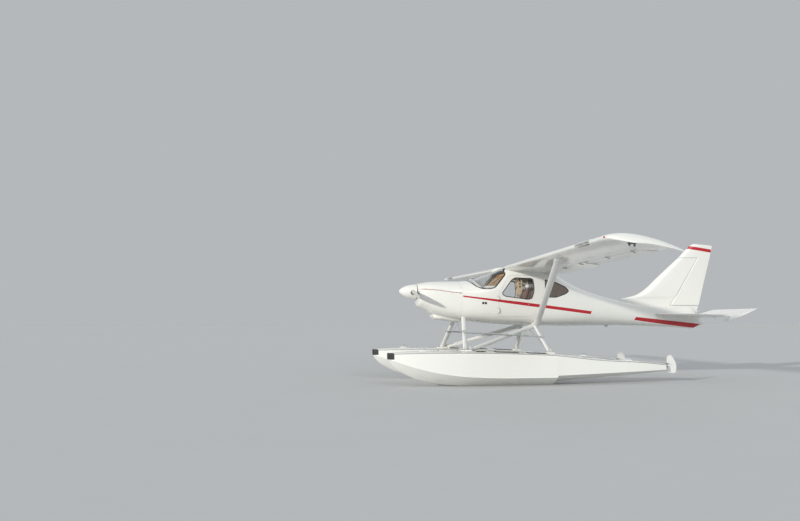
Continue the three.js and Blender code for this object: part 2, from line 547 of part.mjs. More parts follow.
function elevator() {
  const lift = rad(ELEVATOR_UP);
  const turned = (y, along, up) => tailPoint(
    y, along * Math.cos(lift) - up * Math.sin(lift), along * Math.sin(lift) + up * Math.cos(lift));
  const panelRing = (side, y, skew, r) => {
    const tail = (sign) => [[1, 0.08], [0.5, 0.6], [0, 1]].map(([c, w]) =>
      turned(side * (y + skew * c), TAIL.chord * c, sign * r * w));
    const nose = [1, 2, 3, 4, 5].map((i) => {
      const angle = Math.PI / 2 + Math.PI * i / 6;
      return turned(side * y, r * Math.cos(angle), r * Math.sin(angle));
    });
    return [...tail(1), ...nose, ...tail(-1).reverse()];
  };
  const hornRing = (side, y, nose, tail, r) => {
    const sideOf = (sign) => FINE.map(([c, w]) => turned(side * y, nose + (tail - nose) * c, sign * r * w));
    return [...sideOf(1), ...sideOf(-1).reverse()];
  };
  const hornIn = TAIL.stabTip + RUN;
  return join(elevatorTube(TAIL.tube, TAIL.elevatorRoot + 20), ...[1, -1].flatMap((side) => [
    loft([
      panelRing(side, TAIL.elevatorRoot, TAIL.elevatorSkew, ELEVATOR_HALF.root),
      panelRing(side, hornIn + 30, 0, ELEVATOR_HALF.tip)]),
    loft([
      hornRing(side, hornIn, -TAIL.horn + 6, TAIL.chord, 20),
      hornRing(side, TAIL.elevatorTip - 30, -TAIL.horn, TAIL.chord, 19),
      hornRing(side, TAIL.elevatorTip, -TAIL.horn + 40, TAIL.chord - 10, 8)])]));
}
function rudder() {
  const ring = ([height, trailing, r]) => {
    const hinge = hingeStation(height);
    const tail = (sign) => [[1, 0.07], [0.5, 0.6], [0, 1]].map(([c, w]) =>
      [hinge + (trailing - hinge) * c, sign * r * w, height]);
    const nose = [1, 2, 3, 4, 5].map((i) => {
      const angle = Math.PI / 2 + Math.PI * i / 6;
      return [hinge + LEAN * r * Math.cos(angle), r * Math.sin(angle), height];
    });
    return [...tail(1), ...nose, ...tail(-1).reverse()];
  };
  const horn = loft(HORN_SECTIONS.map(([height, nose, tail, thick]) => flatRing(FINE, nose, tail, thick, height)));
  return join(loft(RUDDER_SECTIONS.map(ring)), horn, rudderPin(RUDDER.pin));
}

// Floats: station, keel, chine height, half width at the chine, deck edge height, its half width, deck crown
const FLOAT_SECTIONS = [
  [-375, 486, 522, 52, 598, 62, 620],
  [-340, 430, 504, 96, 602, 92, 626],
  [-250, 338, 468, 150, 606, 138, 634],
  [-100, 245, 412, 205, 612, 184, 642],
  [160, 130, 335, 268, 618, 240, 652],
  [600, 38, 240, 318, 620, 286, 654],
  [1090, 0, 182, 335, 616, 305, 648],
  [1900, 0, 152, 338, 596, 310, 624],
  [2750, 0, 152, 332, 558, 304, 584],
  [2756, 58, 186, 326, 557, 303, 583],
  [3725, 128, 214, 262, 450, 240, 472],
  [4540, 186, 240, 188, 402, 172, 419],
  [5025, 222, 256, 118, 350, 108, 363],
];
const KEEL_STRIP = 13;
function floatRing([station, keel, chine, chineHalf, edge, edgeHalf, crown], grow) {
  const right = [
    [KEEL_STRIP, keel - grow],
    [chineHalf * 0.55, keel + (chine - keel) * 0.5 - grow],
    [chineHalf + grow, chine - grow * 0.5],
    [chineHalf + grow - 4, chine + 14],
    [(chineHalf + edgeHalf) / 2 + grow, (chine + edge) / 2],
    [edgeHalf + grow, edge - 26],
    [edgeHalf * 0.93 + grow, edge],
    [edgeHalf * 0.5, edge + (crown - edge) * 0.75 + grow],
  ];
  const all = [...right, [0, crown + grow], ...right.slice().reverse().map(([y, z]) => [-y, z])];
  return all.map(([y, z]) => [station, y, z]);
}
const floatHull = (grow) => loft(FLOAT_SECTIONS.map((row, i) => {
  const end = i === 0 ? -grow : (i === FLOAT_SECTIONS.length - 1 ? grow : 0);
  return floatRing([row[0] + end, ...row.slice(1)], grow);
}));
// Deck pads under the struts' feet and the mooring cleats: station, out from the float's middle, half length,
// half width, top
const PADS = [
  [1100, FOOT_TRACK - FLOAT_TRACK, 105, 42, 668], [2745, FOOT_TRACK - FLOAT_TRACK, 80, 42, 606],
  [260, 0, 70, 32, 668], [4300, 0, 60, 28, 450],
];
const WATER_RUDDER = { post: 5078, lug: [322, 340], pin: 8, blade: [5098, 5296, 180, 528], thick: 9 };
const padBlocks = (side, grow) => join(...PADS.map(([x, out, long, wide, top]) =>
  block(x - long - grow, x + long + grow, side * out - wide - grow, side * out + wide + grow, top - 70, top + grow)));
const place = (body, y) => body.translate(0, y, 0);
const floatBody = (side) => {
  const { post, lug, pin } = WATER_RUDDER;
  const bracket = join(block(5000, post, -12, 12, ...lug), rod([post, 0, lug[0]], [post, 0, lug[1]], 12, 16));
  const bore = rod([post, 0, lug[0] - 5], [post, 0, lug[1] + 5], pin + BEARING, 12);
  return place(cut(join(floatHull(0), padBlocks(side, 0), bracket), bore), side * FLOAT_TRACK);
};
const floatGrown = (side) => place(join(floatHull(SEAT), padBlocks(side, SEAT)), side * FLOAT_TRACK);
const bumper = (side) => place(cut(
  floatHull(16).intersect(block(-420, -292, -200, 200, 506, 622)), floatHull(SEAT)), side * FLOAT_TRACK);
const waterRudder = (side) => {
  const { post, lug, pin, blade, thick } = WATER_RUDDER;
  const [front, back, low, high] = blade;
  const outline = rounded([[front, low + 12], [front, high - 50], [front + 34, high], [front + 96, high],
    [back - 30, high - 110], [back, low + 150], [back - 12, low + 24], [back - 46, low]], 40);
  const yoke = (z0, z1) => join(block(post, front + 20, -11, 11, z0, z1), rod([post, 0, z0], [post, 0, z1], 13, 16));
  return place(join(
    plate(outline, -thick, thick), yoke(lug[1] + 6, lug[1] + 26), yoke(lug[0] - 26, lug[0] - 6),
    rod([post, 0, lug[0] - 10], [post, 0, lug[1] + 10], pin, 12)), side * FLOAT_TRACK);
};

// The float struts on one side, each cut back to its seats
const TRUSS = {
  front: [[1088, FOOT_TRACK, 640], [1232, 322, 1319]],
  rear: [[2748, FOOT_TRACK, 580], [2636, 321, 1218]],
  diagonal: [[1175, FOOT_TRACK, 658], [2625, 445, 1115]],
};
const trussStrut = (name, side, grow = 0) => {
  const [foot, top] = TRUSS[name].map((p) => mirrored(p, side));
  const [chord, thick] = { front: [88, 38], rear: [78, 36], diagonal: [66, 34] }[name];
  return strut(foot, top, chord, thick, grow);
};
const frontStrut = (side) => cut(trussStrut('front', side), fuselageGrown, floatGrown(side));
const rearStrut = (side) => cut(trussStrut('rear', side), fuselageGrown, floatGrown(side));
const diagonalStrut = (side) => cut(
  trussStrut('diagonal', side), fuselageGrown, floatGrown(side),
  trussStrut('front', side, SEAT), trussStrut('rear', side, SEAT));
const SPREADERS = [[1090, 560], [2745, 510]];
const spreader = ([station, height]) => cut(
  rod([station, -900, height], [station, 900, height], 25, 14), floatGrown(1), floatGrown(-1));
const STEP_BAR = { out: 765, front: [1158, 992], rear: [2688, 898], radius: 13 };
const stepBar = (side) => {
  const { out, front, rear, radius } = STEP_BAR;
  const end = ([x, z], shift) => [x + shift, side * out, z];
  const clamp = ([x, z]) => rod([x, side * 660, z], [x, side * out, z], 11, 10);
  return cut(
    join(rod(end(front, -60), end(rear, 60), radius, 10), clamp(front), clamp(rear)),
    trussStrut('front', side, SEAT), trussStrut('rear', side, SEAT),
    block(900, 3000, Math.min(0, side * 676), Math.max(0, side * 676), 700, 1200));
};

// Propeller and spinner, made along X about their own centre and then set on the thrust line
const setOnThrustLine = (body) => body.rotate([PROP.roll, 0, 0]).rotate([0, PROP.tilt, 0])
  .translate(PROP.station, 0, PROP.height);
// Blade: radius, chord, thickness, pitch
const BLADE_SECTIONS = [
  [40, 62, 58, 46], [110, 74, 50, 44], [170, 96, 34, 40], [270, 128, 24, 33], [450, 142, 17, 24],
  [650, 130, 12, 18], [800, 104, 9, 15], [880, 66, 6, 13], [905, 26, 4, 12],
];
const bladeRing = (sign, [radius, chord, thick, pitch]) => {
  const [c, s] = [Math.cos(rad(pitch)), Math.sin(rad(pitch))];
  return Array.from({ length: 10 }, (_, i) => {
    const angle = 2 * Math.PI * i / 10;
    const [u, w] = [Math.cos(angle) * chord / 2, Math.sin(angle) * thick / 2];
    return [-u * s + w * c, sign * radius, -sign * u * c - sign * w * s];
  });
};
const blade = (sign) => loft(BLADE_SECTIONS.map((row) => bladeRing(sign, row)));
const SPINNER_BACK = PROP.spinnerLength - PROP.station;
const propeller = () => setOnThrustLine(join(
  blade(1), blade(-1), rod([-46, 0, 0], [SPINNER_BACK - 4, 0, 0], 58, 20),
  rod([SPINNER_BACK - 14, 0, 0], [SPINNER_BACK - 4, 0, 0], PROP.spinner - 8.4, 24),
  rod([SPINNER_BACK - 6, 0, 0], [550 - PROP.station - 1.2, 0, 0], 30, 16)));
function spinner() {
  const outer = Array.from({ length: 8 }, (_, i) => {
    const share = (i / 7) ** 1.6;
    return [PROP.spinner * (1 - (1 - share) ** 1.9) ** 0.62, share];
  });
  const tipAt = -PROP.station;
  const wall = 5;
  const profile = [
    ...outer.map(([r, share]) => new THREE.Vector2(r, tipAt + share * PROP.spinnerLength)),
    ...outer.slice().reverse().map(([r, share]) =>
      new THREE.Vector2(Math.max(r - wall, 0), Math.min(tipAt + wall + share * PROP.spinnerLength, SPINNER_BACK))),
  ].filter((p, i, all) => i === 0 || p.distanceTo(all[i - 1]) > 0.01);
  const geometry = new THREE.LatheGeometry(profile, 20);
  geometry.rotateZ(-Math.PI / 2);
  return setOnThrustLine(cut(solid(geometry), rod([0, -300, 0], [0, 300, 0], 50, 20)));
}

// The whole aeroplane
const plane = new THREE.Group();
plane.name = 'floatplane';
plane.position.x = -ORIGIN_STATION;
function add(name, body, finish) {
  const mesh = new THREE.Mesh(skin(body), FINISH[finish]);
  mesh.name = name;
  plane.add(mesh);
}
add('cowling_upper', cowlPart(true), 'gelcoat');
add('cowling_lower', cowlPart(false), 'gelcoat');
add('firewall', firewall, 'bare');
add('engine_block', engine, 'bare');
add('windshield', windshield, 'glass');
add('instrument_panel', panel, 'dark');
add('cabin_floor', floor, 'dark');
add('cabin_cage', cage, 'tan');
add('control_sticks', sticks, 'bare');
add('elevator', elevator(), 'gelcoat');
add('rudder', rudder(), 'gelcoat');
add('propeller', propeller(), 'blade');
add('spinner', spinner(), 'gelcoat');
add('spreader_bar_front', spreader(SPREADERS[0]), 'white');
add('spreader_bar_rear', spreader(SPREADERS[1]), 'white');
for (const [word, side] of [['left', -1], ['right', 1]]) {
  add(`fuselage_${word}`, fuselageHalf(side), 'gelcoat');
  add(`door_${word}`, doorPanel(side), 'gelcoat');
  add(`door_window_${word}`, doorGlass(side), 'glass');
  add(`rear_window_${word}`, rearWindow(side), 'glass');
  add(`seat_${word}`, seat(side), 'cloth');
  add(`wing_${word}`, wing(side), 'gelcoat');
  add(`wing_tip_${word}`, wingTip(side), 'gelcoat');
  add(`flap_${word}`, flap(side), 'white');
  add(`aileron_${word}`, aileron(side), 'white');
  add(`lift_strut_${word}`, liftStrut(side), 'white');
  add(`stabilizer_${word}`, stabilizer(side), 'gelcoat');
  add(`float_${word}`, floatBody(side), 'gelcoat');
  add(`bow_bumper_${word}`, bumper(side), 'rubber');
  add(`water_rudder_${word}`, waterRudder(side), 'white');
  add(`float_strut_front_${word}`, frontStrut(side), 'white');
  add(`float_strut_rear_${word}`, rearStrut(side), 'white');
  add(`float_strut_diagonal_${word}`, diagonalStrut(side), 'white');
  add(`step_bar_${word}`, stepBar(side), 'bare');
}
export default plane;
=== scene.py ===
# %% [markdown]
# A floatplane, dressed around its frame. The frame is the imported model: solids of the right size in the
# right place, with their joints. This file gives them their looks. Most solids are faceted, so a smoother
# piece is built from the same sections and stands for each of them, and small things that only the eye
# needs are added on top.

# %% Load the frame
import random
from math import copysign, cos, exp, hypot, pi, radians, sin, sqrt, tan

import bmesh
import bpy
import numpy as np
from mathutils import Matrix, Vector


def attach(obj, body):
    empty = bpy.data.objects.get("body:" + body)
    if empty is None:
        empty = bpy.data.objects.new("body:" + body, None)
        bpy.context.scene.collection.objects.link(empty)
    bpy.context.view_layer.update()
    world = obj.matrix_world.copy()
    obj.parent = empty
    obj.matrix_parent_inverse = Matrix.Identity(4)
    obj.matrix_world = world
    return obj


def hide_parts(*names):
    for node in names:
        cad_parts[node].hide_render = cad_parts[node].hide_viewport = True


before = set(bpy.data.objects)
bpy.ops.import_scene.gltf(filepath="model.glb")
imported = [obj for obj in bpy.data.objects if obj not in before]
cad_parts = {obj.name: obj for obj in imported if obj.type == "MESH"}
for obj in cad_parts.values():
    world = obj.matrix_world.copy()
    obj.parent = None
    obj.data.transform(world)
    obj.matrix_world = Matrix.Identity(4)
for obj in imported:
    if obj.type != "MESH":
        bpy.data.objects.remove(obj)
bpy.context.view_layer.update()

# %% [markdown]
# Places on an aeroplane are given as stations along the fuselage from the spinner's tip, buttock lines to
# each side and heights over the keels, all in millimetres. Blender works in metres about the frame's
# origin, so one function turns the first into the second, and every table below can stay in millimetres.

# %% Stations to metres
MM = 0.001
ORIGIN_STATION = 3207.5
LEFT, RIGHT = -1, 1
SIDES = {"left": LEFT, "right": RIGHT}
UPWARDS = Vector((0, 0, 1))
CORNERS = ((-1, -1), (1, -1), (1, 1), (-1, 1))


def place(station, out, height):
    """A point given in millimetres as station, buttock line and height, in metres of the frame."""
    return Vector(((station - ORIGIN_STATION) * MM, out * MM, height * MM))


def to_frame(points):
    """The same for an array of points."""
    return (np.asarray(points, float) - (ORIGIN_STATION, 0, 0)) * MM


def turns(count):
    """Angles evenly spaced round a full turn."""
    return np.linspace(0, 2 * pi, count, endpoint=False)


print("spinner tip at", place(0, 0, 1803)[:])

# %% [markdown]
# The camera stands where the photographer stood: low on the left side, a little ahead of the wing and
# looking slightly up. The lens is written as a focal length for a 36 mm wide sensor.

# %% Camera
CAMERA_AT = (-5.6329, -14.9724, 1.1526)
CAMERA_YAW, CAMERA_PITCH, CAMERA_ROLL = (radians(a) for a in (9.289, 4.760, -0.210))
LENS = 34.26

forward = Vector((sin(CAMERA_YAW) * cos(CAMERA_PITCH), cos(CAMERA_YAW) * cos(CAMERA_PITCH),
    sin(CAMERA_PITCH)))
level = Vector((cos(CAMERA_YAW), -sin(CAMERA_YAW), 0))
upward = level.cross(forward)
across = level * cos(CAMERA_ROLL) + upward * sin(CAMERA_ROLL)
upward = upward * cos(CAMERA_ROLL) - level * sin(CAMERA_ROLL)

camera = bpy.data.objects.new("camera", bpy.data.cameras.new("camera"))
camera.data.lens = LENS
camera.data.sensor_width = 36
camera.data.clip_end = 2500
camera_axes = Matrix((across, upward, -forward)).transposed().to_4x4()
camera.matrix_world = Matrix.Translation(CAMERA_AT) @ camera_axes
scene = bpy.context.scene
scene.collection.objects.link(camera)
scene.camera = camera
scene.view_settings.view_transform = "Standard"
print("camera looks along", [round(v, 3) for v in forward])

# %% [markdown]
# The light is a studio's version of a low sun: one lamp far ahead and to the left, which leaves the belly
# and the tail's far side softer, and a pale surround that fills the shadows. Lamps placed near the
# aeroplane would fade over the floor behind it. A spread of two degrees keeps the blade's shadow on the
# cowling readable, yet soft.

# %% Lights and floor
def lamp(name, towards, strength, spread, colour=(1, 1, 1)):
    """A far lamp in the given direction; its spread in degrees makes the edges of shadows soft."""
    light = bpy.data.lights.new(name, "SUN")
    light.angle = radians(spread)
    light.energy = strength
    light.color = colour
    made = bpy.data.objects.new(name, light)
    direction = Vector(towards).normalized()
    made.location = Vector((0, 0, 1.5)) + direction * 20
    made.rotation_euler = direction.to_track_quat("Z", "Y").to_euler()
    scene.collection.objects.link(made)


lamp("key_lamp", (-0.77, -0.58, 0.235), 2.5, 2.2, (1.0, 0.97, 0.90))
lamp("fill_lamp", (0.25, -0.85, 0.45), 0.5, 26, (0.90, 0.95, 1.0))
lamp("back_lamp", (0.6, 0.75, 0.6), 0.22, 60, (0.95, 0.97, 1.0))

surround = bpy.data.worlds.new("surround")
surround.use_nodes = True
surround.node_tree.nodes["Background"].inputs["Color"].default_value = (0.83, 0.87, 0.90, 1)
surround.node_tree.nodes["Background"].inputs["Strength"].default_value = 0.55
scene.world = surround

floor_mesh = bpy.data.meshes.new("studio_floor")
FLOOR_REACH = 900
floor_mesh.from_pydata([(x * FLOOR_REACH, y * FLOOR_REACH, 0) for x, y in CORNERS], [], [(0, 1, 2, 3)])
studio_floor = bpy.data.objects.new("studio_floor", floor_mesh)
scene.collection.objects.link(studio_floor)

# %% [markdown]
# Materials are sums and products of patterns. In the node editor each sum is a box with wires, which is
# slow to read, so a small class wraps one output of a node and gives it Python's own operators. Colours and
# vectors need other nodes than numbers do, so they have methods of their own.

# %% Shader maths
def feed(tree, value, socket):
    """Links a wrapped output to a socket, or sets the socket to a plain value."""
    if isinstance(value, Shade):
        tree.links.new(value.socket, socket)
    elif hasattr(value, "__len__") and len(value) == 3 and socket.type == "RGBA":
        socket.default_value = (*value, 1)
    else:
        socket.default_value = value


def socket_of(sockets, identifier):
    """The socket with this identifier, where several share one name."""
    return next(s for s in sockets if s.identifier == identifier)


class Shade:
    """One output of a shader node, ready for sums and products."""

    def __init__(self, tree, socket):
        self.tree, self.socket = tree, socket

    def maths(self, operation, *values):
        node = self.tree.nodes.new("ShaderNodeMath")
        node.operation = operation
        for socket, value in zip(node.inputs, values):
            feed(self.tree, value, socket)
        return Shade(self.tree, node.outputs[0])

    def __add__(self, other):
        return self.maths("ADD", self, other)

    def __sub__(self, other):
        return self.maths("SUBTRACT", self, other)

    def __rsub__(self, other):
        return self.maths("SUBTRACT", other, self)

    def __mul__(self, other):
        return self.maths("MULTIPLY", self, other)

    def __pow__(self, other):
        return self.maths("POWER", self, other)

    def __abs__(self):
        return self.maths("ABSOLUTE", self)

    __radd__, __rmul__ = __add__, __mul__

    def least(self, other):
        return self.maths("MINIMUM", self, other)

    def step(self, low, high):
        """0 below low, 1 above high and smooth between them."""
        node = self.tree.nodes.new("ShaderNodeMapRange")
        node.interpolation_type = "SMOOTHSTEP"
        feed(self.tree, self, node.inputs["Value"])
        node.inputs["From Min"].default_value, node.inputs["From Max"].default_value = sorted((low, high))
        ends = (0, 1) if low < high else (1, 0)
        node.inputs["To Min"].default_value, node.inputs["To Max"].default_value = ends
        return Shade(self.tree, node.outputs["Result"])

    def past(self, limit, soft=0.001):
        """0 before a limit and 1 beyond it, with a fine soft edge."""
        return self.step(limit - soft, limit + soft)

    def short_of(self, limit, soft=0.001):
        return self.step(limit + soft, limit - soft)

    def parts(self):
        """The three numbers of a vector."""
        node = self.tree.nodes.new("ShaderNodeSeparateXYZ")
        feed(self.tree, self, node.inputs[0])
        return [Shade(self.tree, out) for out in node.outputs]

    def scaled(self, factors):
        node = self.tree.nodes.new("ShaderNodeVectorMath")
        node.operation = "MULTIPLY"
        feed(self.tree, self, node.inputs[0])
        node.inputs[1].default_value = factors
        return Shade(self.tree, node.outputs[0])

    def mixed(self, first, second):
        """first where this is 0 and second where it is 1, as colours."""
        node = self.tree.nodes.new("ShaderNodeMix")
        node.data_type = "RGBA"
        feed(self.tree, self, socket_of(node.inputs, "Factor_Float"))
        feed(self.tree, first, socket_of(node.inputs, "A_Color"))
        feed(self.tree, second, socket_of(node.inputs, "B_Color"))
        return Shade(self.tree, socket_of(node.outputs, "Result_Color"))


class Finish:
    """A material with one Principled shader, to which patterns are added in object space, in metres."""

    def __init__(self, name, **constants):
        self.material = bpy.data.materials.new(name)
        self.material.use_nodes = True
        self.tree = self.material.node_tree
        self.shader = self.tree.nodes["Principled BSDF"]
        self.put(**constants)
        self.where = self.node("ShaderNodeTexCoord", output="Object")

    def put(self, **sockets):
        """Sets or links sockets of the shader, whose names are written with _ for a blank."""
        for name, value in sockets.items():
            feed(self.tree, value, self.shader.inputs[name.replace("_", " ")])
        return self

    def node(self, kind, settings=(), output=0, **sockets):
        """Any other node: its type, its settings and the values or links of its sockets."""
        made = self.tree.nodes.new(kind)
        for name, value in dict(settings).items():
            setattr(made, name, value)
        for name, value in sockets.items():
            feed(self.tree, value, made.inputs[name.replace("_", " ")])
        return Shade(self.tree, made.outputs[output])

    def noise(self, scale, detail=3.0, stretch=(1, 1, 1)):
        return self.node("ShaderNodeTexNoise", Vector=self.where.scaled(stretch), Scale=scale,
            Detail=detail, Roughness=0.55)

    def bump(self, height, distance, strength=1.0):
        normal = self.node("ShaderNodeBump", Height=height, Distance=distance, Strength=strength)
        return self.put(Normal=normal)


print("shader maths ready")

# %% [markdown]
# Moulded glass-fibre pieces are finished in gelcoat: nearly white, glossy and faintly wavy where the cloth
# prints through. Low down they turn darker, yellower and duller in streaks: on the floats a film where
# spray dries, under the fuselage and the cowling painted shade. The red stripe is part of the paint, so it
# is worked
# out from the station and the height: a gently bent line with a width that grows aft, left bare where the
# registration stood. Drawing it in the material lets it run over the door's edge without a break, and the
# way the skin faces keeps it off the inside of the shell.

# %% Gelcoat
WHITE = (0.82, 0.815, 0.775)
RED = (0.50, 0.010, 0.022)
# The yellowish grey of the low streaks: dried spray on the floats, painted shade under the fuselage and the
# cowling.
STAIN_AND_SHADE = (0.50, 0.47, 0.38)
STRIPE = {"start": 1.188, "height": 1.687, "fall": 0.128, "bend": 0.0024, "bare": (3.85, 4.885),
    "end": 6.375}
STRIPE_EDGE = 0.0008


def gelcoat(name, paint=None, low=1.15, high=1.40, white=WHITE):
    """White gelcoat. paint gives a mask of red from the station and the height."""
    finish = Finish(name, Coat_Weight=0.35, Coat_Roughness=0.05, Specular_IOR_Level=0.5)
    x, y, z = finish.where.parts()
    cloud = finish.noise(2.2, 4)
    # The mask below darkens, yellows and dulls the gelcoat in streaks under a height: a film of dried spray
    # on the floats, painted shade under the fuselage and the cowling.
    low_stain_and_shade = z.step(high, low) * finish.noise(5.0, 5, (0.35, 1, 2.2)).step(0.42, 0.75)
    colour = (cloud.step(0.3, 0.8) * 0.10).mixed(white, tuple(c * 0.93 for c in white))
    colour = (low_stain_and_shade * 0.22).mixed(colour, STAIN_AND_SHADE)
    if paint:
        mask = paint(x + ORIGIN_STATION * MM, z)
        if paint is side_stripe:
            facing = finish.node("ShaderNodeNewGeometry", output="Normal").parts()[1]
            mask = mask * (facing * y).step(0.0, 0.02)
        colour = mask.mixed(colour, (finish.noise(3.0) * 0.25).mixed(RED, (0.36, 0.006, 0.014)))
    finish.put(Base_Color=colour, Roughness=0.16 + cloud * 0.10 + low_stain_and_shade * 0.22)
    ripple = finish.noise(7.0, 2) + finish.noise(60.0, 2) * 0.06
    return finish.bump(ripple, 0.0016, 0.35)


def side_stripe(station, height):
    """The stripe along the fuselage's side, with its slanted ends and its bare stretch."""
    along = station - STRIPE["start"]
    middle = STRIPE["height"] - along * STRIPE["fall"] + along * along * STRIPE["bend"]
    half_width = 0.0145 + station.step(1.15, 2.5) * 0.0165 + station.step(4.4, 6.3) * 0.017
    offset = height - middle
    band = (half_width - abs(offset)).past(0, STRIPE_EDGE)
    slanted = station - offset * 0.45
    bare_from, bare_to = STRIPE["bare"]
    shown = station.past(STRIPE["start"])
    shown = shown * (1 - slanted.past(bare_from) * slanted.short_of(bare_to))
    raked = station - offset * 1.6
    return band * shown * raked.short_of(STRIPE["end"])


def fin_stripe(station, height):
    """The band across the fin's cap, which falls a little towards the tail."""
    middle = 2.753 - (station - 6.27) * 0.137
    return (0.034 - abs(height - middle)).past(0, STRIPE_EDGE)


fuselage_paint = gelcoat("fuselage_gelcoat", side_stripe)
cowling_paint = gelcoat("cowling_gelcoat")
rudder_paint = gelcoat("rudder_gelcoat", fin_stripe, 0.4, 0.5)
wing_paint = gelcoat("wing_gelcoat", low=0.4, high=0.5, white=(0.83, 0.83, 0.80))
float_paint = gelcoat("float_gelcoat", low=0.02, high=0.34, white=(0.84, 0.84, 0.80))
print("gelcoats", [m.name for m in bpy.data.materials])

# %% [markdown]
# The other finishes follow the same plan: one shader, one or two noises at the real scale of the surface,
# and a bump. Metals get brushed streaks, rubber a dull chalky bloom and cloth a weave of two crossed waves.
# The clear plastic of the windows is thin, so it only mirrors a share of the light and lets the rest
# through unbent, which also lets the lamps reach the seats.

# %% Other finishes
def painted(name, colour, roughness=0.3, wear=0.15, fine=40.0, **more):
    finish = Finish(name, Coat_Weight=0.15, Coat_Roughness=0.1, **more)
    patch = finish.noise(fine, 4)
    dark = tuple(c * 0.72 for c in colour)
    finish.put(Base_Color=(patch.step(0.45, 0.8) * wear).mixed(colour, dark),
        Roughness=roughness + patch * 0.16)
    return finish.bump(patch, 0.0004, 0.3)


def metal(name, colour, roughness=0.3, streak=(1, 1, 1)):
    finish = Finish(name, Metallic=1.0)
    grain = finish.noise(120.0, 3, streak)
    blotch = finish.noise(14.0, 3)
    tone = (blotch.step(0.35, 0.8) * 0.5).mixed(colour, tuple(c * 0.6 for c in colour))
    finish.put(Base_Color=tone, Roughness=roughness + grain * 0.22)
    return finish.bump(grain, 0.0002, 0.4)


def rubber(name, colour=(0.018, 0.018, 0.019), roughness=0.62):
    finish = Finish(name, Specular_IOR_Level=0.35)
    bloom = finish.noise(26.0, 5)
    finish.put(Base_Color=(bloom.step(0.45, 0.85) * 0.5).mixed(colour, tuple(c * 3 + 0.01 for c in colour)),
        Roughness=roughness + bloom * 0.2)
    return finish.bump(bloom + finish.noise(300.0, 2) * 0.3, 0.0006, 0.5)


def cloth(name, colour, second, threads=900.0):
    finish = Finish(name, Sheen_Weight=0.3, Sheen_Roughness=0.4, Roughness=0.9)
    settings = {"wave_type": "BANDS", "bands_direction": "Y"}
    warp = finish.node("ShaderNodeTexWave", settings, output="Fac", Vector=finish.where, Scale=threads / 20)
    weft = finish.node("ShaderNodeTexWave", {**settings, "bands_direction": "Z"}, output="Fac",
        Vector=finish.where, Scale=threads / 20)
    mottle = finish.noise(90.0, 4)
    weave = warp * 0.5 + weft * 0.5
    finish.put(Base_Color=(mottle * 0.5 + weave * 0.5).step(0.2, 0.9).mixed(colour, second))
    return finish.bump(weave + mottle, 0.0012, 0.6)


def lens(name, tint):
    """Thick coloured glass, which bends the light."""
    finish = Finish(name, Transmission_Weight=1.0, IOR=1.49, Coat_Weight=0.0)
    wiped = finish.noise(30.0, 5, (1, 1, 0.3))
    finish.put(Base_Color=(wiped.step(0.5, 0.9) * 0.25).mixed(tint, tuple(c * 0.92 for c in tint)),
        Roughness=wiped.step(0.45, 0.95) * 0.05)
    return finish


def pane_finish(name, tint, haze):
    """A thin sheet: it mirrors as much as the angle asks and lets the rest straight through."""
    finish = Finish(name, Metallic=1.0)
    wiped = finish.noise(30.0, 5, (1, 1, 0.3)).step(0.45, 0.95)
    slant = finish.node("ShaderNodeLayerWeight", output="Facing", Blend=0.5)
    finish.put(Base_Color=(wiped * 0.3).mixed(tint, tuple(c * 0.85 for c in tint)),
        Roughness=0.03 + wiped * 0.08, Alpha=(slant ** 5 * (1 - haze) + haze + wiped * 0.02).least(1.0))
    return finish


strut_paint = painted("strut_paint", (0.80, 0.80, 0.78), 0.26, 0.10, 18.0)
fitting_paint = painted("fitting_paint", (0.66, 0.66, 0.65), 0.35, 0.5, 60.0)
tan_paint = painted("tan_tube_paint", (0.60, 0.36, 0.13), 0.35, 0.3, 50.0)
blade_paint = painted("blade_paint", (0.66, 0.65, 0.62), 0.32, 0.25, 25.0)
black_paint = painted("black_crackle", (0.020, 0.020, 0.022), 0.55, 0.3, 220.0)
grey_paint = painted("interior_grey", (0.23, 0.22, 0.20), 0.6, 0.3, 160.0)
steel = metal("stainless_steel", (0.56, 0.56, 0.55), 0.22)
dark_steel = metal("dark_steel", (0.18, 0.18, 0.19), 0.38)
anodised = metal("anodised_fittings", (0.30, 0.31, 0.29), 0.42)
step_paint = painted("step_bar_paint", (0.46, 0.49, 0.475), 0.38, 0.35, 45.0)
wrap_paint = painted("wrap_tape", (0.34, 0.41, 0.47), 0.45, 0.3, 60.0)
aluminium = metal("aluminium", (0.66, 0.67, 0.68), 0.28, (0.1, 1, 1))
bumper_rubber = rubber("bumper_rubber", (0.034, 0.034, 0.036))
seal_rubber = rubber("seal_rubber", (0.022, 0.022, 0.024), 0.5)
rail_rubber = rubber("rail_rubber", (0.16, 0.16, 0.155), 0.6)
pale_rubber = rubber("pale_rubber", (0.24, 0.24, 0.23), 0.6)
grip_rubber = rubber("grip_rubber", (0.38, 0.40, 0.39), 0.6)
non_skid = rubber("non_skid", (0.055, 0.055, 0.058), 0.85)
seat_cloth = cloth("seat_cloth", (0.17, 0.105, 0.085), (0.30, 0.20, 0.165), 1500.0)
carpet = cloth("carpet", (0.035, 0.035, 0.037), (0.085, 0.083, 0.08), 1500.0)
lining = cloth("lining", (0.34, 0.285, 0.25), (0.48, 0.41, 0.37), 3000.0)
webbing = cloth("webbing", (0.03, 0.03, 0.035), (0.07, 0.07, 0.08), 1600.0)
strap_cloth = cloth("strap_cloth", (0.62, 0.42, 0.17), (0.80, 0.60, 0.30), 1400.0)
faded_strap = cloth("faded_strap", (0.50, 0.32, 0.20), (0.68, 0.47, 0.33), 1400.0)
window_plastic = pane_finish("window_plastic", (0.86, 0.88, 0.87), 0.035)
smoked_plastic = pane_finish("smoked_plastic", (0.50, 0.40, 0.35), 0.42)
lamp_glass = pane_finish("lamp_glass", (0.95, 0.95, 0.93), 0.6)
red_lens = lens("red_lens", (0.75, 0.02, 0.02))
green_lens = lens("green_lens", (0.02, 0.55, 0.12))
